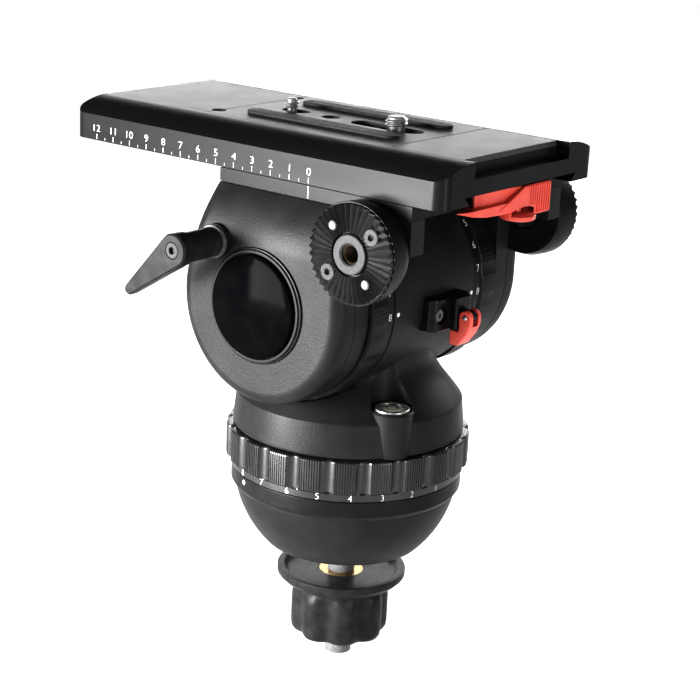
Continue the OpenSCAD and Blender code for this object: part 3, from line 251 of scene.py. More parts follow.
# %% Panel, plastic, rubber and print
panel_grey = (Finish("panel_grey", (0.46, 0.50))
              .colour((0.030, 0.030, 0.031), (0.042, 0.042, 0.044), 0.6, 3.0).sheen(12).bump(0.3, 0.02, 0.7).made)
red_plastic = (Finish("red_plastic", (0.30, 0.42), Subsurface_Weight=0.08,
                      Subsurface_Radius=(0.002, 0.0006, 0.0004))
               .colour((0.60, 0.075, 0.050), (0.70, 0.100, 0.070), 6).sheen(3).bump(0.5, 0.015, 0.5).made)
soft_rubber = (Finish("soft_rubber", (0.62, 0.78))
               .colour((0.010, 0.010, 0.010), (0.019, 0.019, 0.019), 1.0).sheen(2).bump(0.45, 0.03, 0.8).made)
white_print = (Finish("white_print", (0.6, 0.7), Specular_IOR_Level=0.1)
               .colour((0.66, 0.66, 0.66), (0.74, 0.74, 0.74), 0.4).sheen(0.8).bump(0.2, 0.004, 0.5).made)
print("finishes:", len(bpy.data.materials))

# %% Metals
bright_steel = (Finish("bright_steel", (0.22, 0.34), Metallic=1.0)
                .colour((0.30, 0.30, 0.305), (0.42, 0.42, 0.425), 1.5).sheen(1.2).bump(0.25, 0.006, 0.5).made)
dull_steel = (Finish("dull_steel", (0.40, 0.5), Specular_IOR_Level=0.16)
              .colour((0.10, 0.10, 0.103), (0.15, 0.15, 0.153), 1.2).sheen(2).bump(0.25, 0.01, 0.6).made)
zinc_grey = (Finish("zinc_grey", (0.42, 0.52), Specular_IOR_Level=0.12)
             .colour((0.035, 0.035, 0.037), (0.052, 0.052, 0.054), 1.2).sheen(1.5).bump(0.3, 0.015, 0.6).made)
warm_brass = (Finish("warm_brass", (0.25, 0.38), Metallic=1.0)
              .colour((0.36, 0.25, 0.10), (0.46, 0.33, 0.15), 2).sheen(2).bump(0.3, 0.006, 0.5).made)
print("finishes in all:", len(bpy.data.materials))

# %% [markdown]
# ## Making pieces
# Round pieces are turned: half a section is drawn with a few vertices and spun about the Z axis. Flat pieces are
# slabs: an outline is extruded. Bevels round the edges that catch the light. Everything is drawn in
# millimetres and scaled to metres at the end, when the piece gets its finish and its body.

# %% Helpers for shapes
def verts_of(geom):
    return [v for v in geom if isinstance(v, bmesh.types.BMVert)]


def turned(profile, steps=128):
    """Spins (radius, height) points about Z. A profile that starts on the axis also ends there."""
    bm = bmesh.new()
    points = [bm.verts.new((r, 0, z)) for r, z in profile]
    from_axis = profile[0][0] == 0
    lines = [bm.edges.new(pair) for pair in zip(points, points[1:] if from_axis else points[1:] + points[:1])]
    bmesh.ops.spin(bm, geom=points + lines, cent=(0, 0, 0), axis=(0, 0, 1), angle=math.tau, steps=steps,
                   use_merge=True)
    bmesh.ops.remove_doubles(bm, verts=bm.verts, dist=0.0005)
    bmesh.ops.recalc_face_normals(bm, faces=bm.faces)
    return bm


def post(radius, low, high, steps=96):
    """A plain upright cylinder."""
    return turned([(0, low), (radius, low), (radius, high), (0, high)], steps)


def slab(outline, low, high):
    """Extrudes an outline in the XY plane from one height to another."""
    bm = bmesh.new()
    face = bm.faces.new([bm.verts.new((x, y, low)) for x, y in outline])
    raised = bmesh.ops.extrude_face_region(bm, geom=[face])["geom"]
    bmesh.ops.translate(bm, vec=(0, 0, high - low), verts=verts_of(raised))
    bmesh.ops.recalc_face_normals(bm, faces=bm.faces)
    return bm


def arc(x, y, radius, start, stop, count):
    """Points on a circle, angles in degrees."""
    turns = [math.radians(start + (stop - start) * i / count) for i in range(count + 1)]
    return [(x + radius * math.cos(t), y + radius * math.sin(t)) for t in turns]


def rectangle(left, right, low, high):
    return [(left, low), (right, low), (right, high), (left, high)]


def rounded(bm, width, segments=2, angle=32, where=None):
    """Bevels the edges that turn by more than an angle."""
    limit = math.radians(angle)
    inner = [e for e in bm.edges if len(e.link_faces) == 2]
    sharp = [e for e in inner if e.calc_face_angle(0) > limit and (where is None or where(e))]
    bmesh.ops.bevel(bm, geom=sharp, offset=width, offset_type="OFFSET", segments=segments, profile=0.5,
                    affect="EDGES", clamp_overlap=True, material=-1)
    return bm


print("shapes: turned, post and slab")

# %% [markdown]
# ## Placing and joining
# A shape is drawn where that is easy and then moved by a matrix: shifted, turned, or seen from the side or from
# the rear. Shapes that touch are simply joined into one mesh. Where one has to be cut, the Boolean modifier
# does it, and its result is read back, so that no cutter stays in the scene.

# %% Helpers for places
def shift(x=0, y=0, z=0):
    return Matrix.Translation((x, y, z))


def rotate(degrees, axis):
    return Matrix.Rotation(math.radians(degrees), 4, axis)


def moved(bm, matrix):
    bmesh.ops.transform(bm, matrix=matrix, verts=bm.verts)
    if matrix.determinant() < 0:
        bmesh.ops.reverse_faces(bm, faces=bm.faces)
    return bm


def joined(*parts):
    """Puts several shapes into one."""
    whole = bmesh.new()
    for part in parts:
        carrier = as_mesh("part", part)
        whole.from_mesh(carrier)
        bpy.data.meshes.remove(carrier)
    return whole


tilt_z = 83.5
to_right = shift(z=tilt_z) @ rotate(90, "Y")
mirror_x = Matrix.Scale(-1, 4, (1, 0, 0))
side_view = Matrix(((0, 0, 1), (1, 0, 0), (0, 1, 0))).to_4x4()
rear_view = rotate(90, "X")


def both(make):
    """A shape and its mirror image on the other side of the middle plane."""
    return joined(make(), moved(make(), mirror_x))


print("the tilt axis runs along X at", tilt_z, "mm")

# %% Helpers for cutting and finishing
def carved(blank, *tools, operation="DIFFERENCE"):
    """Cuts tools out of a blank with the Boolean modifier."""
    things = [placed("blank", as_mesh("blank", shape)) for shape in (blank, *tools)]
    for tool in things[1:]:
        cut = things[0].modifiers.new("cut", "BOOLEAN")
        cut.object, cut.operation, cut.solver = tool, operation, "EXACT"
    shaped = things[0].evaluated_get(bpy.context.evaluated_depsgraph_get())
    bm = bmesh.new()
    bm.from_mesh(shaped.to_mesh())
    for thing in things:
        mesh = thing.data
        bpy.data.objects.remove(thing)
        bpy.data.meshes.remove(mesh)
    bmesh.ops.remove_doubles(bm, verts=bm.verts, dist=0.002)
    return bm


def piece(name, bm, body, finish, slot, *nodes, smooth=34):
    """Makes an object of a shape drawn in millimetres, on its body."""
    bmesh.ops.scale(bm, vec=(0.001, 0.001, 0.001), verts=bm.verts)
    mesh = as_mesh(name, bm)
    mesh.materials.append(finish)
    mesh.shade_smooth()
    mesh.set_sharp_from_angle(angle=math.radians(smooth))
    thing = placed(name, mesh)
    flat = thing.modifiers.new("flat_faces", "WEIGHTED_NORMAL")
    flat.keep_sharp, flat.weight = True, 80
    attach(thing, body)
    if nodes:
        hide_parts(*nodes)
    print(name, len(mesh.polygons), "faces")


print("carving ready")

# %% [markdown]
# ## Half ball and base ring
# The half ball rocks in its seat to level the head, so it is a smooth turned part of a sphere. The base ring
# above it never turns. Its lower edge is chamfered, which leaves the dark undercut seen in the photograph,
# and a white dot on it marks the setting of the numbered ring.

# %% Half ball
ball_radius, ball_top, ball_floor, ball_foot = 50, -9.2, -28, -36
ball_line = arc(0, 0, ball_radius, -10.6, -46, 14)
ball_inside = [(33.9, ball_foot), (6.2, ball_foot), (6.2, ball_floor), (28, ball_floor)]
half_ball = turned([(28, ball_top)] + ball_line + ball_inside)
piece("ball", rounded(half_ball, 0.4), "base", cast_black, "black_casting", "half_ball")

# %% Base ring
base_bore, base_radius, base_top = 14.1, 51.1, -0.4
base_line = [(base_bore, ball_top), (49.5, ball_top), (base_radius, -7.1), (base_radius, base_top),
             (base_bore, base_top)]
piece("base_collar", rounded(turned(base_line, 192), 0.35), "base", ring_black, "black_casting", "base_ring")

# %% [markdown]
# ## The pan drag ring
# The camera operator turns this ring to set how stiffly the head pans. Its rim has 22 grip pads with fine
# upright ridges and smooth hollows between them, over a plain lip with the numbers. A loop of vertices is
# extruded level by level, and each vertex is set to the radius of a pad, a ridge or a hollow, which is
# far lighter than cutting each groove.

# %% Helpers for grip rings
def grip_radius(turn, pads, outer, depth, hollow, ridges, ridge):
    """Radius of a gripping rim at a turn of 0 to 1."""
    place = (turn * pads + 0.5) % 1 - 0.5
    pad = 0.5 * (1 - hollow)
    if abs(place) >= pad:
        from_middle = (abs(place) - 0.5) / (0.5 - pad)
        return outer - depth * (1 - from_middle * from_middle) ** 0.8
    in_groove = math.cos((place / pad * ridges + (ridges + 1) % 2) * math.pi) < 0
    return outer - (ridge if in_groove else 0)


def edges_of(geom):
    return [e for e in geom if isinstance(e, bmesh.types.BMEdge)]


def grip_ring(levels, steps, radius):
    """A ring from (height, plain radius or None, inset) levels; None takes the gripping rim."""
    bm = bmesh.new()
    loop = bmesh.ops.create_circle(bm, segments=steps, radius=1)["verts"]
    rims, edges = [], list({e for v in loop for e in v.link_edges})
    for height, plain, inset in levels:
        if rims:
            extruded = bmesh.ops.extrude_edge_only(bm, edges=edges)["geom"]
            edges, loop = edges_of(extruded), verts_of(extruded)
        for v in loop:
            turn = math.atan2(v.co.y, v.co.x) / math.tau % 1
            r = plain if plain else radius(turn) - inset
            v.co = r * math.cos(turn * math.tau), r * math.sin(turn * math.tau), height
        rims.append(edges)
    bmesh.ops.bridge_loops(bm, edges=rims[0] + rims[-1])
    bmesh.ops.recalc_face_normals(bm, faces=bm.faces)
    return bm


print("grip rings ready")

# %% Pan ring
pan_pads, pan_phase, pan_bore, pan_lip = 22, 5.07 / 360, 46.3, 51.6


def pan_rim(turn):
    return grip_radius(turn - pan_phase, pan_pads, outer=53.7, depth=1.7, hollow=0.42, ridges=8, ridge=0.32)


pan_levels = [(0, pan_bore, 0), (0, 51.3, 0), (0.3, pan_lip, 0), (3.1, pan_lip, 0), (3.35, 51.9, 0),
              (3.8, None, 0.55), (4.4, None, 0), (17.4, None, 0), (18.1, None, 0.5),
              (18.5, 51.2, 0), (18.5, pan_bore, 0)]
pan_ring = grip_ring(pan_levels, pan_pads * 112, pan_rim)
piece("pan_grip", pan_ring, "pan_drag", grip_black, "black_ring", "pan_drag_ring", smooth=40)

# %% [markdown]
# ## Printed numbers
# The rings and the plate are marked in white. A numeral starts as a text curve, becomes a mesh straight away and
# is scaled to its real height, then laid on the surface with a frame of three directions: to the right,
# upwards and out of the surface.

# %% Helpers for print
def numeral(text, height):
    """A thin mesh of a text, centred, so many millimetres tall."""
    curve = bpy.data.curves.new("numeral", "FONT")
    curve.body, curve.align_x, curve.resolution_u, curve.offset = text, "CENTER", 3, -0.016
    thing = placed("numeral", curve)
    bpy.context.view_layer.update()
    mesh = bpy.data.meshes.new_from_object(thing.evaluated_get(bpy.context.evaluated_depsgraph_get()))
    bm = bmesh.new()
    bm.from_mesh(mesh)
    bpy.data.objects.remove(thing)
    bpy.data.curves.remove(curve)
    bpy.data.meshes.remove(mesh)
    low, high = min(v.co.y for v in bm.verts), max(v.co.y for v in bm.verts)
    left, right = min(v.co.x for v in bm.verts), max(v.co.x for v in bm.verts)
    bmesh.ops.translate(bm, vec=(-(left + right) / 2, -(low + high) / 2, 0), verts=bm.verts)
    bmesh.ops.scale(bm, vec=[height / (high - low)] * 3, verts=bm.verts)
    return bm


ink = 0.03


def dot(radius):
    bm = bmesh.new()
    bmesh.ops.create_circle(bm, cap_ends=True, segments=20, radius=radius)
    return bm


def bar(width, height):
    return slab(rectangle(-width / 2, width / 2, -height / 2, height / 2), 0, ink)


def laid(mark, place, right, up):
    """Lays a flat mark on a surface."""
    right, up = Vector(right).normalized(), Vector(up).normalized()
    out = right.cross(up)
    spot = Matrix.Translation(Vector(place) + out * ink)
    return moved(mark, spot @ Matrix((right, up, out)).transposed().to_4x4())


def on_drum(mark, angle, radius, height):
    """Lays a mark on an upright drum."""
    t = math.radians(angle)
    out = Vector((math.cos(t), math.sin(t), 0))
    return laid(mark, out * radius + Vector((0, 0, height)), (-out.y, out.x, 0), (0, 0, 1))


print("print stands", ink, "mm proud")

# %% Numbers on the pan ring
last_setting, eight_at, pan_step = 8, 158.4, 15.47
settings = range(1, last_setting + 1)
pan_numbers = [on_drum(numeral(str(n), 2.7), eight_at + (last_setting - n) * pan_step, pan_lip, 1.8) for n in settings]
piece("pan_numbers", joined(*pan_numbers), "pan_drag", white_print, "black_ring")
piece("base_dot", on_drum(dot(1.1), 158.6, base_radius, -2.9), "base", white_print, "black_casting")

# %% [markdown]
# ## The panning body
# One casting carries everything above the pan ring: an upright band, a cone and a neck that runs up into the
# round middle. Band and cone are turned from one profile. A Boolean then takes out the niche over the spirit
# level, the room for the two tilt rings and the seat of the lamp button, as a milling cutter would.

# %% Band, cone and neck
band_foot, niche_floor, middle_half = 18.9, 38.5, 28.2
level_spot = rotate(-118, "Z") @ shift(44)
lamp_spot = rotate(-48, "Z") @ shift(z=26.9) @ rotate(90, "Y")
cone_line = [(51, band_foot), (51, 20.2), (49.7, 32.9), (49.3, 33.5), (46.9, 36.6), (44.0, 40.0), (40.9, 43.6),
             (38.5, 47), (36.8, 50.4), (36, 54), (36, 76)]
cone = turned([(24, band_foot)] + cone_line + [(24, 76)], 160)
rounded(cone, 0.5, where=lambda e: e.verts[0].co.z < 20)
ring_rooms = [moved(post(44.9, middle_half, 90), Matrix.Scale(s, 4, (1, 0, 0)) @ to_right) for s in (1, -1)]
niche, lamp_seat = moved(post(9.3, niche_floor, 90), level_spot), moved(post(5.6, 49.9, 70, 48), lamp_spot)
cone = rounded(carved(cone, niche, *ring_rooms, lamp_seat), 0.45, 2, 45)
boss_line = [(0, band_foot), (8.7, band_foot), (9.3, 37.7), (8.6, niche_floor), (0, niche_floor)]
boss = moved(turned(boss_line, 64), level_spot)
piece("pan_cone", joined(cone, boss), "pan", cast_black, "black_casting", "pan_body")

# %% Round middle
shaft_bore, neck_radius, neck_half, middle_radius = 11.1, 36, 44.2, 43.5
half_middle = [(shaft_bore, neck_half), (neck_radius, neck_half), (neck_radius, middle_half),
               (middle_radius, middle_half)]
middle_line = [(r, -x) for r, x in half_middle] + half_middle[::-1]
piece("pan_middle", moved(rounded(turned(middle_line, 160), 0.4), to_right), "pan", cast_black, "black_casting")
middle_dots = [laid(dot(0.95), (s * 26, -43.47, 81.5), (1, 0, 0), (0, -0.046, 1)) for s in (1, -1)]
piece("middle_dots", joined(*middle_dots), "pan", white_print, "black_casting")

# %% [markdown]
# ## Spirit level and lamp button
# The level is a round vial in a turned steel bezel, sunk in the boss behind the neck. The vial is a low glass dome
# with one black ring on it. Its glass could be made clear, but only its top shows, so a pale green body under a
# glossy coat looks the same. The rubber button beside it switches the level's lamp.

# %% Level
level_steel = Finish("level_steel", (0.34, 0.46), Metallic=1.0)
turning_marks = level_steel.rings((-20.66, -38.85, 0), "Z", 0.5)
level_steel.colour((0.42, 0.42, 0.425), (0.55, 0.55, 0.555), 1.5).sheen(1.5).bump(1, 0.02, 0.7, turning_marks)
vial_glass = Finish("vial_glass", (0.04, 0.10), Coat_Weight=0.8, Coat_Roughness=0.02)
vial_glass.colour((0.50, 0.56, 0.44), (0.60, 0.66, 0.54), 3).sheen(2)
bezel = turned([(5.95, 34.5), (7.6, 34.5), (7.6, 39.1), (7.2, 39.4), (6.5, 39.4), (5.95, 38.9)], 72)
piece("level_rim", moved(rounded(bezel, 0.12), level_spot), "pan", level_steel.made, "steel", "level_bezel")
glass = turned([(0, 34.5), (5.85, 34.5), (5.85, 38.5), (4.5, 38.85), (2.5, 39.0), (0, 39.05)], 64)
piece("level_glass", moved(glass, level_spot), "pan", vial_glass.made, "vial", "level_vial")
ring_mark = turned([(2.3, 39.03), (2.65, 39.02), (2.65, 39.08), (2.3, 39.09)], 48)
piece("level_mark", moved(ring_mark, level_spot), "pan", lever_black, "vial")

# %% Lamp button
lamp = turned([(0, 44.4), (4.2, 44.4), (4.2, 49.4), (3.4, 49.75), (1.8, 49.9), (0, 49.9)], 48)
piece("lamp_pad", moved(lamp, lamp_spot), "lamp", soft_rubber, "rubber", "lamp_button")

# %% [markdown]
# ## The two tilt rings
# The left ring sets how stiffly the head tilts, and the right one how hard its spring lifts the camera. Both are
# the pan ring's smaller sisters, so the same level-by-level extrusion makes them, turned on their side. Their
# numbers stand upright for someone behind the head.

# %% Tilt rings
tilt_bore, tilt_lip, tilt_pads, tilt_step = 36.3, 43.3, 20, 13.5
tilt_levels = [(0, tilt_bore, 0), (0, 42.9, 0), (0.4, tilt_lip, 0), (4.3, tilt_lip, 0), (4.5, 43.5, 0),
               (5.0, None, 0.15), (5.4, None, 0), (14.7, None, 0), (15.3, None, 0.4),
               (15.7, 42.8, 0), (15.7, tilt_bore, 0)]


def tilt_rim(turn):
    return grip_radius(turn, tilt_pads, outer=44.3, depth=0.32, hollow=0.42, ridges=6, ridge=0.1)


def tilt_number(n, side):
    t = math.radians(-3 + (last_setting - n) * tilt_step)
    place = Vector((side * 31.2, -math.cos(t) * tilt_lip, math.sin(t) * tilt_lip + tilt_z))
    return laid(numeral(str(n), 3.0), place, (1, 0, 0), (0, math.sin(t), math.cos(t)))


for side, ring, body, node in ((-1, "tilt", "tilt_drag", "tilt_drag_ring"), (1, "balance", "balance", "balance_ring")):
    spot = Matrix.Scale(side, 4, (1, 0, 0)) @ shift(28.5) @ to_right
    rim = moved(grip_ring(tilt_levels, tilt_pads * 40, tilt_rim), spot)
    piece(ring + "_grip", rim, body, ring_black, "black_ring", node, smooth=40)
    marks = joined(*(tilt_number(n, side) for n in settings))
    piece(ring + "_numbers", marks, body, white_print, "black_ring")

# %% [markdown]
# ## The cheeks
# Each cheek is an arm beside the ring and an outer cover with a generous round edge. Seen from the side both share
# one outline: a round about the tilt axis, drawn up to the platform. The cover starts as a straight slab with a
# bevelled rim. It is then sliced level by level, and each level is pulled in so that the side curves in under
# the plate.

# %% Arms and bosses
cheek_radius, cheek_front, arm_side, seam, arm_top = 42.5, 31, 44.6, 53.6, 129.1
cheek_line = arc(0, tilt_z, cheek_radius, 180, 376.17, 72)
rosette_spot = shift(0, -48.5, 114.5) @ rotate(90, "Y")


def cheek_slab(inner, outer, top):
    outline = cheek_line + [(cheek_front, top), (-cheek_radius, top)]
    return moved(slab(outline, inner, outer), side_view)


def cheek_arm():
    corner = slab(rectangle(arm_side, 53.5, -67.6, -38), 114.7, arm_top)
    return joined(rounded(cheek_slab(arm_side, seam, arm_top), 0.45), rounded(corner, 0.5))


def rosette_boss():
    boss = turned([(8.1, 53.75), (18.9, 53.75), (20.3, 58), (20.7, 65.1), (8.1, 65.1)], 96)
    return moved(rounded(boss, 0.4), rosette_spot)


# Painted shade: the bosses belong to the cheek's casting, yet they take the darker ring_black finish so that they stay
# as dark as the shade they sit in under the platform.
piece("bosses", both(rosette_boss), "cradle", ring_black, "black_casting")
piece("right_arm", cheek_arm(), "cradle", cast_black, "black_casting", "right_cheek")
piece("left_arm", moved(cheek_arm(), mirror_x), "cradle", cast_black, "black_casting", "left_cheek")

# %% Covers of the cheeks
cover_top, cheek_side, lean_start, lean_radius = 128.75, 64.5, 105, 33.92


def lean(z):
    """Half width of the cover at a height: upright below, then drawn in on a large round."""
    return min(cheek_side, 30.7 + math.sqrt(lean_radius ** 2 - max(z - lean_start, 0) ** 2))


def on_outer_rim(edge):
    at_side = all(v.co.x > cheek_side - 0.1 for v in edge.verts)
    return at_side and any(v.co.z < cover_top - 0.75 for v in edge.verts)


def cheek_cover():
    bm = cheek_slab(seam, cheek_side, cover_top)
    rounded(bm, 6, 9, where=on_outer_rim)
    rounded(bm, 0.45, where=lambda e: all(v.co.x < seam + 0.1 for v in e.verts))
    for i in range(22):
        everything = bm.verts[:] + bm.edges[:] + bm.faces[:]
        bmesh.ops.bisect_plane(bm, geom=everything, plane_co=(0, 0, lean_start + 1.5 + i), plane_no=(0, 0, 1))
    for v in bm.verts:
        v.co.x = seam + (v.co.x - seam) * (lean(v.co.z) - seam) / (cheek_side - seam)
    return bm


lever_boss = shift(0, 22.3, 106.8) @ rotate(-90, "Y")
lever_foot = moved(rounded(post(7.2, 60, 66, 64), 0.4), lever_boss)
left_cover = joined(moved(cheek_cover(), mirror_x), lever_foot)
piece("right_side", cheek_cover(), "cradle", cast_black, "black_casting", "right_cover", smooth=30)
piece("left_side", left_cover, "cradle", cast_black, "black_casting", "left_cover", smooth=30)

# %% [markdown]
# ## Caps and bezels
# A glossy dome, smooth and bare, closes each cheek over the tilt shaft. Cap and bezel are turned, with a dark
# groove between them, because the photograph shows the cap as a bright line inside a stepped ring.

# %% Caps
def cap():
    dome = [(0, 62), (21.6, 62), (21.6, 67.2), (21.3, 67.8), (20.6, 68.3), (17, 69.0), (12, 69.6), (6, 70.0), (0, 70.1)]
    return moved(turned(dome), to_right)


def cap_bezel():
    ring = [(21.9, 64.4), (24.4, 64.4), (24.2, 65.4), (23.5, 65.5), (23.3, 66.4), (22.2, 66.4), (21.9, 66.0)]
    return moved(rounded(turned(ring), 0.14), to_right)


piece("caps", both(cap), "cradle", gloss_black, "gloss_cap", "side_caps", smooth=50)
piece("bezels", both(cap_bezel), "cradle", ring_black, "black_plastic", "cap_bezels")

# %% [markdown]
# ## Rosettes
# A handle bolts to the toothed rosette at either side. The teeth are radial, so one ring of vertices is extruded
# from the rim to the insert, with every second vertex pushed down: deep at the rim, shallow near the middle.
# Each tooth could be a wedge of its own, but then neighbours would not share their valleys.

# %% Rosette teeth
teeth, tooth_foot, tooth_top = 40, 65.05, 67.45


def in_valley(turn):
    """1 in a valley between teeth, 0 on a tooth."""
    return round(turn / math.tau * 2 * teeth) % 2


def toothed():
    bm = bmesh.new()
    loop = bmesh.ops.create_circle(bm, segments=2 * teeth, radius=20.1)["verts"]
    rim = list({e for v in loop for e in v.link_edges})
    foot = verts_of(bmesh.ops.extrude_edge_only(bm, edges=rim)["geom"])
    edges = rim
    for radius in (19.8, 14, 8.9):
        ring = bmesh.ops.extrude_edge_only(bm, edges=edges)["geom"]
        edges = edges_of(ring)
        for v in verts_of(ring):
            turn = math.atan2(v.co.y, v.co.x)
            height = tooth_top - in_valley(turn) * 2.0 * radius / 20
            v.co = radius * math.cos(turn), radius * math.sin(turn), height
    for v in loop:
        v.co.z = tooth_top - 0.3 - in_valley(math.atan2(v.co.y, v.co.x)) * 1.9
    inner = verts_of(bmesh.ops.extrude_edge_only(bm, edges=edges)["geom"])
    for v in foot + inner:
        v.co.z = tooth_foot
    bmesh.ops.recalc_face_normals(bm, faces=bm.faces)
    return moved(bm, rosette_spot)


piece("rosette_teeth", both(toothed), "cradle", grip_black, "black_casting", "rosettes", smooth=20)

# %% [markdown]
# ## Threaded inserts, screws and pins
# In the middle of each rosette sits a pale insert with a dark bronze thread for the handle's bolt, and round it two
# socket screws and two bright pins. A thread is a small V that is spun with a step vector, so that each step
# also climbs a little. A texture could fake it, but not where one looks into the hole.

# %% Inserts
def coil(profile, pitch, turns, per_turn):
    """A thread: (radius, height) points that climb by a pitch on each turn."""
    bm = bmesh.new()
    ends = [bm.verts.new((r, 0, z)) for r, z in profile]
    lines = [bm.edges.new(pair) for pair in zip(ends, ends[1:])]
    bmesh.ops.spin(bm, geom=ends + lines, cent=(0, 0, 0), axis=(0, 0, 1), dvec=(0, 0, pitch / per_turn),
                   angle=turns * math.tau, steps=int(turns * per_turn))
    bmesh.ops.recalc_face_normals(bm, faces=bm.faces)
    return bm


def insert_shell():
    shell = turned([(4.0, 55.1), (8.0, 55.1), (8.0, 66.9), (7.6, 67.3), (4.7, 67.3), (4.0, 66.6)], 64)
    return moved(rounded(shell, 0.2), rosette_spot)


def insert_thread():
    """The thread down the insert's hole, over a plug that closes the hole's end."""
    groove = coil([(4.1, 57), (3.4, 57.6), (4.1, 58.2)], pitch=1.25, turns=6.6, per_turn=24)
    bmesh.ops.reverse_faces(groove, faces=groove.faces)
    return moved(joined(groove, post(4.05, 55.2, 56.6, 40)), rosette_spot)


bronze = (Finish("bronze", (0.35, 0.5), Metallic=0.6)
          .colour((0.05, 0.035, 0.02), (0.09, 0.065, 0.04), 1).sheen(1).bump(0.3, 0.01, 0.5).made)
piece("rosette_inlays", both(insert_shell), "cradle", zinc_grey, "grey_alloy", "rosette_inserts")
piece("rosette_threads", both(insert_thread), "cradle", bronze, "grey_alloy")

# %% Screws and pins
def socket_screw(radius, low, high, socket, deep):
    """A flat screw head with a chamfered rim and a hexagon socket."""
    head = turned([(0, low), (radius, low), (radius, high - 0.35), (radius - 0.35, high), (0, high)], 40)
    hexagon = slab(arc(0, 0, socket, 0, 300, 5), high - deep, high + 1)
    return carved(head, hexagon)


def round_rosette(angle):
    """A place on the ring of screws and pins, at an angle in degrees."""
    t, radius = math.radians(angle), 13.4
    return shift(0, radius * math.cos(t), radius * math.sin(t)) @ rosette_spot


def rosette_screw_pair():
    return joined(*(moved(socket_screw(3.5, 65.2, 67.42, 1.5, 1.6), round_rosette(a)) for a in (140, 320)))


def rosette_pin_pair():
    pin = [(0, 60), (1.9, 60), (1.9, 67.3), (1.55, 67.65), (0, 67.7)]
    return joined(*(moved(turned(pin, 32), round_rosette(a)) for a in (50, 230)))


piece("rosette_bolts", both(rosette_screw_pair), "cradle", zinc_grey, "steel", "rosette_screws")
piece("rosette_studs", both(rosette_pin_pair), "cradle", dull_steel, "steel", "rosette_pins")

# %% [markdown]
# ## Lock levers
# The tilt lock on the left cheek and the pan lock on the band are the same set of pieces: two bright washers, a
# waisted hub, a flat blade that narrows to its tip, and a socket screw. The blade is the convex hull of a few
# circles, which gives the flat faces, the tangent sides and the chamfers in one step.

# %% Lever pieces
hub_top, blade_reach = 18.3, 33


def lever_washer():
    rings = [(4.1, 0.3), (6.9, 0.3), (6.9, 0.85), (6.3, 0.95), (6.3, 1.2), (6.9, 1.3), (6.9, 1.85), (4.1, 1.85)]
    return rounded(turned(rings, 56), 0.12)


def lever_hub():
    waist = [(0, -13), (4, -13), (4, 1.9), (6.2, 1.9), (6.2, 4.4), (5.7, 4.7), (5.7, 5.2), (6.2, 5.5),
             (6.2, hub_top), (0, hub_top)]
    return rounded(turned(waist, 56), 0.25)


def lever_blade():
    bm = bmesh.new()
    root = [(5.9, hub_top), (6.9, 19.1), (6.9, 24.4), (6.2, 25.3)]
    tip = [(1.6, 19.3), (2.4, 20.0), (2.4, 23.6), (1.7, 24.4)]
    for along, circles in ((0, root), (blade_reach, tip)):
        for radius, height in circles:
            bmesh.ops.create_circle(bm, segments=32, radius=radius, matrix=shift(along, 0, height))
    hull = bmesh.ops.convex_hull(bm, input=bm.verts)
    bmesh.ops.delete(bm, geom=list(set(hull["geom_interior"] + hull["geom_unused"])), context="VERTS")
    bmesh.ops.dissolve_limit(bm, angle_limit=0.02, verts=bm.verts, edges=bm.edges)
    return carved(bm, post(3.65, 22.8, 30, 40))


print("a lever's blade reaches", blade_reach, "mm")

# %% Both levers
tilt_lever = shift(-66, 22.3, 106.8) @ mirror_x @ side_view
pan_lever = rotate(45, "Z") @ shift(51, 0, 26.3) @ side_view
for name, spot, angle in (("tilt_lock", tilt_lever, -40), ("pan_lock", pan_lever, 150)):
    aim = spot @ rotate(angle, "Z")
    piece(name + "_rings", moved(lever_washer(), spot), name, dull_steel, "steel", name + "_washer")
    piece(name + "_barrel", moved(lever_hub(), spot), name, lever_black, "black_plastic", name + "_hub")
    piece(name + "_wing", moved(lever_blade(), aim), name, lever_black, "black_plastic", name + "_blade", smooth=24)
    bolt = moved(socket_screw(3.4, 22.6, 25.45, 1.7, 1.7), aim)
    piece(name + "_bolt", bolt, name, zinc_grey, "steel", name + "_screw")

# %% [markdown]
# ## The tilt latch
# A bracket behind the middle holds a small red lever that locks the counterbalance. The bracket is a slab with one
# round and one sloping end, hollowed to the middle's radius, and its screw sits in a round recess. The lever is
# a fork round the bracket's lug, with a finger tab that hangs down.

# %% Bracket
bracket_low, bracket_high, bracket_face = 71.2, 85.2, -49.5
axle_y, axle_z = -56.4, 77.2
bracket_line = ([(-9, -38), (-9, -45.2)] + arc(-4.8, -45.3, 4.2, 180, 270, 10)
                + [(20.5, bracket_face), (22, -48), (22, -38)])
bracket = rounded(slab(bracket_line, bracket_low, bracket_high), 0.6, 3)
middle_room = moved(post(middle_radius + 0.02, -40, 40, 128), to_right)
screw_side = shift(-3.4, bracket_face, 77.8) @ rear_view
recess = moved(post(3.6, -3.0, 2, 48), screw_side)
slope = moved(slab([(13, 87), (30, 87), (30, 72.5)], 0, 30), shift(y=-35) @ rear_view)
step_line = [(2.2, -47), (2.2, -52.4), (2.8, -53), (11.6, -53), (12.2, -52.4), (12.2, -47)]
step = rounded(slab(step_line, bracket_low, bracket_high), 0.4)
lug_line = arc(0, 0, 2.6, 90, 270, 16) + [(4.5, -2.6), (4.5, 2.6)]
lug = rounded(moved(slab(lug_line, 5.7, 8.7), shift(0, axle_y, axle_z) @ side_view), 0.25)
bracket = joined(carved(bracket, middle_room, recess, slope), step, lug)
piece("latch_body", bracket, "pan", latch_black, "black_casting", "latch_bracket")

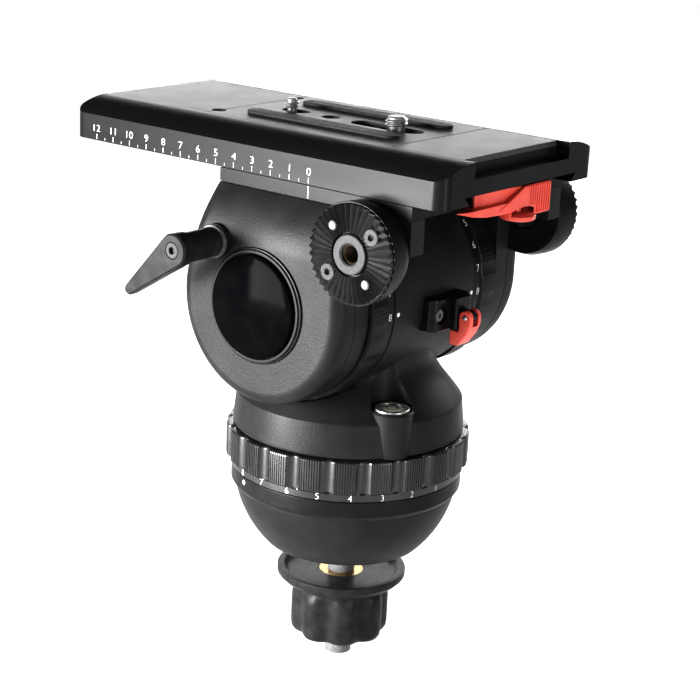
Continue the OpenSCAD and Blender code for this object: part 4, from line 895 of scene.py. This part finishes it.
# %% Latch screw, pin and lever
latch_bolt = moved(socket_screw(2.8, -3.0, -1.2, 1.3, 1.1), screw_side)
piece("latch_bolt", latch_bolt, "pan", dull_steel, "steel", "latch_screw")
latch_axle = shift(7.2, axle_y, axle_z) @ rotate(90, "Y")
axle = moved(rounded(post(1.2, -4.2, 4.2, 28), 0.25), latch_axle)
piece("latch_axle", axle, "pan", bright_steel, "steel", "latch_pin")
finger_line = arc(0, 0, 3, 0, 180, 18) + [(-3, -3), (-1.2, -7.4), (2.4, -12.2), (3.4, -13), (6.6, -13),
                                          (7.4, -12.2), (7.4, -6.5), (3, -6.5)]
finger = rounded(moved(slab(finger_line, 3.2, 11.2), shift(0, axle_y, axle_z) @ side_view), 0.55, 3)
fork = moved(rounded(post(4.7, -1.9, 1.9, 40), 0.1), latch_axle)
piece("latch_finger", carved(finger, fork), "latch", red_plastic, "red_plastic", "latch_lever")

# %% [markdown]
# ## The platform
# The platform joins the two cheeks and carries the plate on a dovetail. Its CAD solid has the right shape already,
# with a notch for the clamp lever, so a copy of its mesh is merged, its flat faces are made whole again and its
# edges are broken with a small bevel. A white line on its left side is the index of the plate's scale.

# %% Platform
bridge = bmesh.new()
bridge.from_mesh(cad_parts["platform"].data)
bmesh.ops.scale(bridge, vec=(1000, 1000, 1000), verts=bridge.verts)
bmesh.ops.remove_doubles(bridge, verts=bridge.verts, dist=0.003)
bmesh.ops.dissolve_limit(bridge, angle_limit=0.01, verts=bridge.verts, edges=bridge.edges)
piece("bridge", rounded(bridge, 0.35, 2, 40), "cradle", plate_black, "black_casting", "platform")
plate_half, index_y, to_rear, upwards = 54.25, -16.3, (0, -1, 0), (0, 0, 1)
index_line = laid(bar(0.3, 5.0), (-plate_half, index_y, 132), to_rear, upwards)
piece("bridge_index", index_line, "cradle", white_print, "black_casting")

# %% [markdown]
# ## The clamp lever
# This red lever at the rear clamps the plate. It has a pointed leaf with a curved keel, a finger scoop, a shoulder,
# a ribbed thumb tab and a collar over its release button. Each is its own slab with rounded edges, pushed into
# the next, because the moulding has soft edges everywhere and no sharp joins.

# %% Leaf, scoop and tab
pivot, button = shift(16.5, -62), shift(16.5, -70)
leaf_line = [(16.5, -56.6), (-27.5, -70), (-27.7, -70.7), (-24, -72), (-19.6, -72.7), (9, -72.7)]
keel_line = [(-28.5, 128.5), (-26.7, 128.2), (-19.9, 126.5), (-14, 125.5), (-9.3, 124.9), (0, 124.5),
             (17.5, 124.3), (17.5, 131), (-28.5, 131)]
keel = moved(slab(keel_line, 0, 40), shift(y=-50) @ rear_view)
leaf = rounded(carved(slab(leaf_line, 124.2, 128.8), keel, operation="INTERSECT"), 0.35, 2, 40)
scoop_line = [(-13.8, -67.7), (-13.8, -69), (-9, -69.8), (-4, -70.2), (2, -70.2), (8, -70.4), (13, -71),
              (19.5, -72.3), (19.5, -67.7)]
scoop = rounded(slab(scoop_line, 127.6, 134.2), 0.35)
shoulder_line = [(-1.5, 124.6), (20, 124.35), (24.4, 121.5), (25.8, 121.5), (25.8, 126.2), (20.6, 126.4),
                 (20, 134.2), (16.5, 134.2), (12, 132), (6, 129.3), (1, 127.5), (-1.5, 126.6)]
shoulder = rounded(moved(slab(shoulder_line, 0, 2.6), shift(y=-70.4) @ rear_view), 0.6, 3)
arm = slab(rectangle(8, 36.4, -72.4, -62.2), 124.4, 128.7)
tab_line = [(18.6, -72.6), (36.2, -72.6), (36.8, -72), (36.8, -67.5), (18.6, -67.5)]
tab = rounded(slab(tab_line, 121.1, 134.25), 0.6, 3)
hub = moved(post(9, 124.3, 128.7, 64), pivot)
print("the clamp lever turns about", pivot.to_translation()[:2])

# %% Room for the button, collar and ribs
collar_bore = 8.2


def well():
    """A domed room for the button."""
    dome = [(0, 110), (collar_bore, 110), (collar_bore, 124.4), (7, 125), (5, 125.45), (3, 125.6), (0, 125.6)]
    return moved(turned(dome, 64), button)


def stem(radius, high):
    return moved(post(radius, 123, high, 32), button @ shift(y=0.7))


leaf, shoulder, arm, tab, hub = (carved(part, well(), stem(2.2, 129.5)) for part in (leaf, shoulder, arm, tab, hub))
collar = turned([(collar_bore, 121.8), (9.1, 121.8), (9.1, 124.8), (collar_bore, 124.8)], 64)
open_side = slab(rectangle(0, 33, -90, -72.3), 118, 128)
collar = carved(moved(collar, button), open_side)
rib_line = [(-0.45, -73.1), (0.45, -73.1), (0.6, -72.2), (-0.6, -72.2)]
ribs = []
for i in range(10):
    over_shoulder = i <= 3
    rib = rounded(slab(rib_line, 126.5 if over_shoulder else 121.6, 133.8), 0.2)
    ribs.append(moved(rib, shift(20.2 + i * 1.72)))
handle = joined(leaf, scoop, shoulder, hub, arm, tab, collar, *ribs)
piece("clamp_handle", handle, "clamp", red_plastic, "red_plastic", "clamp_lever")

# %% Release button
knob_line = [(0, 120.2), (6.6, 120.2), (7.4, 120.6), (7.7, 121.3), (7.7, 122.2), (7, 122.7), (5.5, 123.2), (3, 123.4),
             (0, 123.4)]
knob = joined(moved(turned(knob_line, 64), button), stem(2, 125.5))
piece("release_knob", knob, "release", red_plastic, "red_plastic", "clamp_button")

# %% [markdown]
# ## The camera plate
# The plate is an extruded bar with two curved rails, a dovetail channel below and a flat pocket for the top panels.
# Its section is a slab outline, and its rounded corners come from a Boolean with a rounded plan. The slots
# for the two camera screws, and the wider pockets under them for the screws' heads, are cut the same way.

# %% Plate body
plate_rear, plate_front, pocket_half, pocket_floor, rail_foot = -82, 118, 33.7, 149.3, 146.1
below, above, slot_roof = 130, 160, 142
big_slot_y, small_slot_y = -13.24, 36.675


def stadium(length, half, low, high, y):
    """A prism with round ends along Y."""
    reach = length / 2 - half
    outline = arc(0, reach, half, 0, 180, 16) + arc(0, -reach, half, 180, 360, 16)
    return moved(slab(outline, low, high), shift(y=y))


def big_slot(grow=0):
    return stadium(36 + 2 * grow, 5.21 + grow, below, above, big_slot_y)


def small_slot(grow=0):
    return stadium(14 + 2 * grow, 3.625 + grow, below, above, small_slot_y)


rail = arc(pocket_half, 151.8 - 39.9, 39.9, 59.0, 90, 14)
dovetail = [(39.8, 138.5), (36.3, 135), (plate_half, 135), (plate_half, rail_foot)]
half_section = dovetail + rail[1:] + [(pocket_half, pocket_floor)]
section = half_section + [(-x, z) for x, z in reversed(half_section)]
plate = moved(slab(section, 0, plate_front - plate_rear), shift(y=plate_front) @ rear_view)
corner = 6
right, front, rear = plate_half - corner, plate_front - corner, plate_rear + corner
corners = ((right, front, 0), (-right, front, 90), (-right, rear, 180), (right, rear, 270))
plan = slab([p for x, y, a in corners for p in arc(x, y, corner, a, a + 90, 8)], below, above)
plate = carved(plate, plan, operation="INTERSECT")
shelf = slab(rectangle(-pocket_half, pocket_half, -90, -76), 145, 165)
head_pockets = stadium(42.8, 8.61, below, slot_roof, big_slot_y), stadium(20, 6.625, below, slot_roof, small_slot_y)
plate = carved(plate, shelf, big_slot(), small_slot(), *head_pockets)
rounded(plate, 2.2, 5, 20, lambda e: all(abs(v.co.z - rail_foot) < 0.05 for v in e.verts))
piece("plate_bar", rounded(plate, 0.4, 2, 40), "plate", plate_black, "black_casting", "camera_plate")

# %% [markdown]
# ## Panels, strips and scale
# Three blasted panels lie in the plate's pocket, with hairline joints between them and two rubber strips that grip
# the camera. The scale on the plate's left side counts centimetres. Its ticks are thin bars, and its numerals
# are a little widened, as on the real one.

# %% Top panels and grip strips
panel_half, panel_joint = 33.4, 58


def panel(rear, front, *cuts):
    sheet = slab(rectangle(-panel_half, panel_half, rear, front), pocket_floor + 0.01, 151.79)
    return rounded(carved(sheet, *cuts) if cuts else sheet, 0.3, 2, 50)


def seat_holes():
    """Two shallow holes across the joint of the middle and the front panel."""
    return [moved(post(3.2, 150.4, 155, 40), shift(x, panel_joint)) for x in (-26, 26)]


round_hole = moved(post(4, 150.2, 155, 40), shift(y=17.2))
middle_panel = panel(-40.85, panel_joint - 0.15, big_slot(0.02), small_slot(0.02), round_hole, *seat_holes())
panels = joined(panel(-75.85, -41.15), middle_panel, panel(panel_joint + 0.15, 117.55, *seat_holes()))
piece("panels", panels, "plate", panel_grey, "satin_panel", "top_panels")
strips = [moved(rounded(stadium(80, 4.25, 151.75, 153.2, 7), 0.5), shift(x)) for x in (-18.5, 18.5)]
piece("strips", joined(*strips), "plate", soft_rubber, "rubber", "grip_strips")

# %% Scale on the plate
centimetres, tick_foot = 12, 135.6
scale = []
for half_step in range(2 * centimetres + 1):
    width, height = (0.18, 1.1) if half_step % 2 else (0.24, 2.2)
    place = (-plate_half, index_y + 5 * half_step, tick_foot + height / 2)
    scale.append(laid(bar(width, height), place, to_rear, upwards))
for number in range(centimetres + 1):
    digits = moved(numeral(str(number), 2.9), Matrix.Scale(1.2, 4, (1, 0, 0)))
    scale.append(laid(digits, (-plate_half, index_y + 10 * number, 140.3), to_rear, upwards))
piece("plate_scale", joined(*scale), "plate", white_print, "black_casting")

# %% [markdown]
# ## Camera screws
# The large and the small camera screw stand in their slots and slide along them. The thread is spun as in the
# rosette's insert, outwards this time, round a turned core with a chamfered tip, and a flat head below holds the
# screw in its pocket.

# %% Camera screws
head_foot, head_top, thread_foot, screw_tip = 138.9, 141.5, 152.1, 157.2
screw_steel = (Finish("screw_steel", (0.38, 0.48), Metallic=0.7)
               .colour((0.22, 0.22, 0.22), (0.32, 0.32, 0.32), 1).sheen(1).bump(0.25, 0.01, 0.5).made)


def camera_screw(radius, pitch):
    root = radius - 0.95
    core = turned([(0, head_foot), (root, head_foot), (root, screw_tip - 0.6), (radius - 1.5, screw_tip),
                   (0, screw_tip)], 40)
    ridge = [(radius - 1, 0), (radius, pitch * 0.45), (radius, pitch * 0.55), (radius - 1, pitch)]
    turns = int((screw_tip - thread_foot - 1.2 * pitch) / pitch)
    return joined(core, coil([(r, thread_foot + z) for r, z in ridge], pitch, turns, per_turn=28))


for name, y, radius, pitch, head in (("big", -18, 4.76, 1.59, 8.16), ("small", 39, 3.175, 1.27, 6.175)):
    flange = rounded(post(head, head_foot, head_top, 48), 0.3)
    screw = moved(joined(camera_screw(radius, pitch), flange), shift(y=y))
    piece(name + "_thread", screw, name + "_stud", screw_steel, "steel", name + "_screw")

# %% [markdown]
# ## The tie-down
# Below the half ball a stud, a clamping cup and a hand knob pull the head down on its seat. They follow what such
# heads have: a cup that presses from below, and a knob with finger lobes made by the same level-by-level
# extrusion as the rings.

# %% Knob and cup
cup_foot, lobes = -56, 8


def lobe_radius(turn):
    return 22 - 2.2 * (0.5 - 0.5 * math.cos(turn * lobes * math.tau)) ** 1.6


knob_levels = [(-82, 7.3, 0), (-82, None, 3.0), (-81.2, None, 1.4), (-79.5, None, 0.3), (-77, None, 0),
               (-64, None, 0), (-60.5, None, 0.7), (-59, 20, 0), (cup_foot, 20.5, 0), (cup_foot, 10.2, 0)]
hand_knob = grip_ring(knob_levels, 160, lobe_radius)
piece("hand_knob", hand_knob, "tie_down", lever_black, "black_plastic", "tie_down_knob", smooth=50)
cup = turned([(9.95, cup_foot), (26, cup_foot), (29, -53), (29, -50), (26, -50), (23.9, -52.1), (9.95, -52.1)])
piece("clamp_cup", rounded(cup, 0.4), "tie_down", lever_black, "black_plastic", "tie_down_cup")

# %% [markdown]
# ## Kept CAD nodes
# Studs, shafts, bearings and springs stay as the CAD made them, because hardly any of them shows and their shape
# is right. Each only gets a metal finish.

# %% Close the lesson
brass_made, grey_made = ("spindle_nut", "tie_down_nut"), ("pan_drag_core", "balance_pack")
kept = [name for name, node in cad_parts.items() if not node.hide_render]
for name in kept:
    metal = warm_brass if name in brass_made else zinc_grey if name in grey_made else dull_steel
    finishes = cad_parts[name].data.materials
    finishes.clear()
    finishes.append(metal)
print("CAD nodes kept:", len(kept))
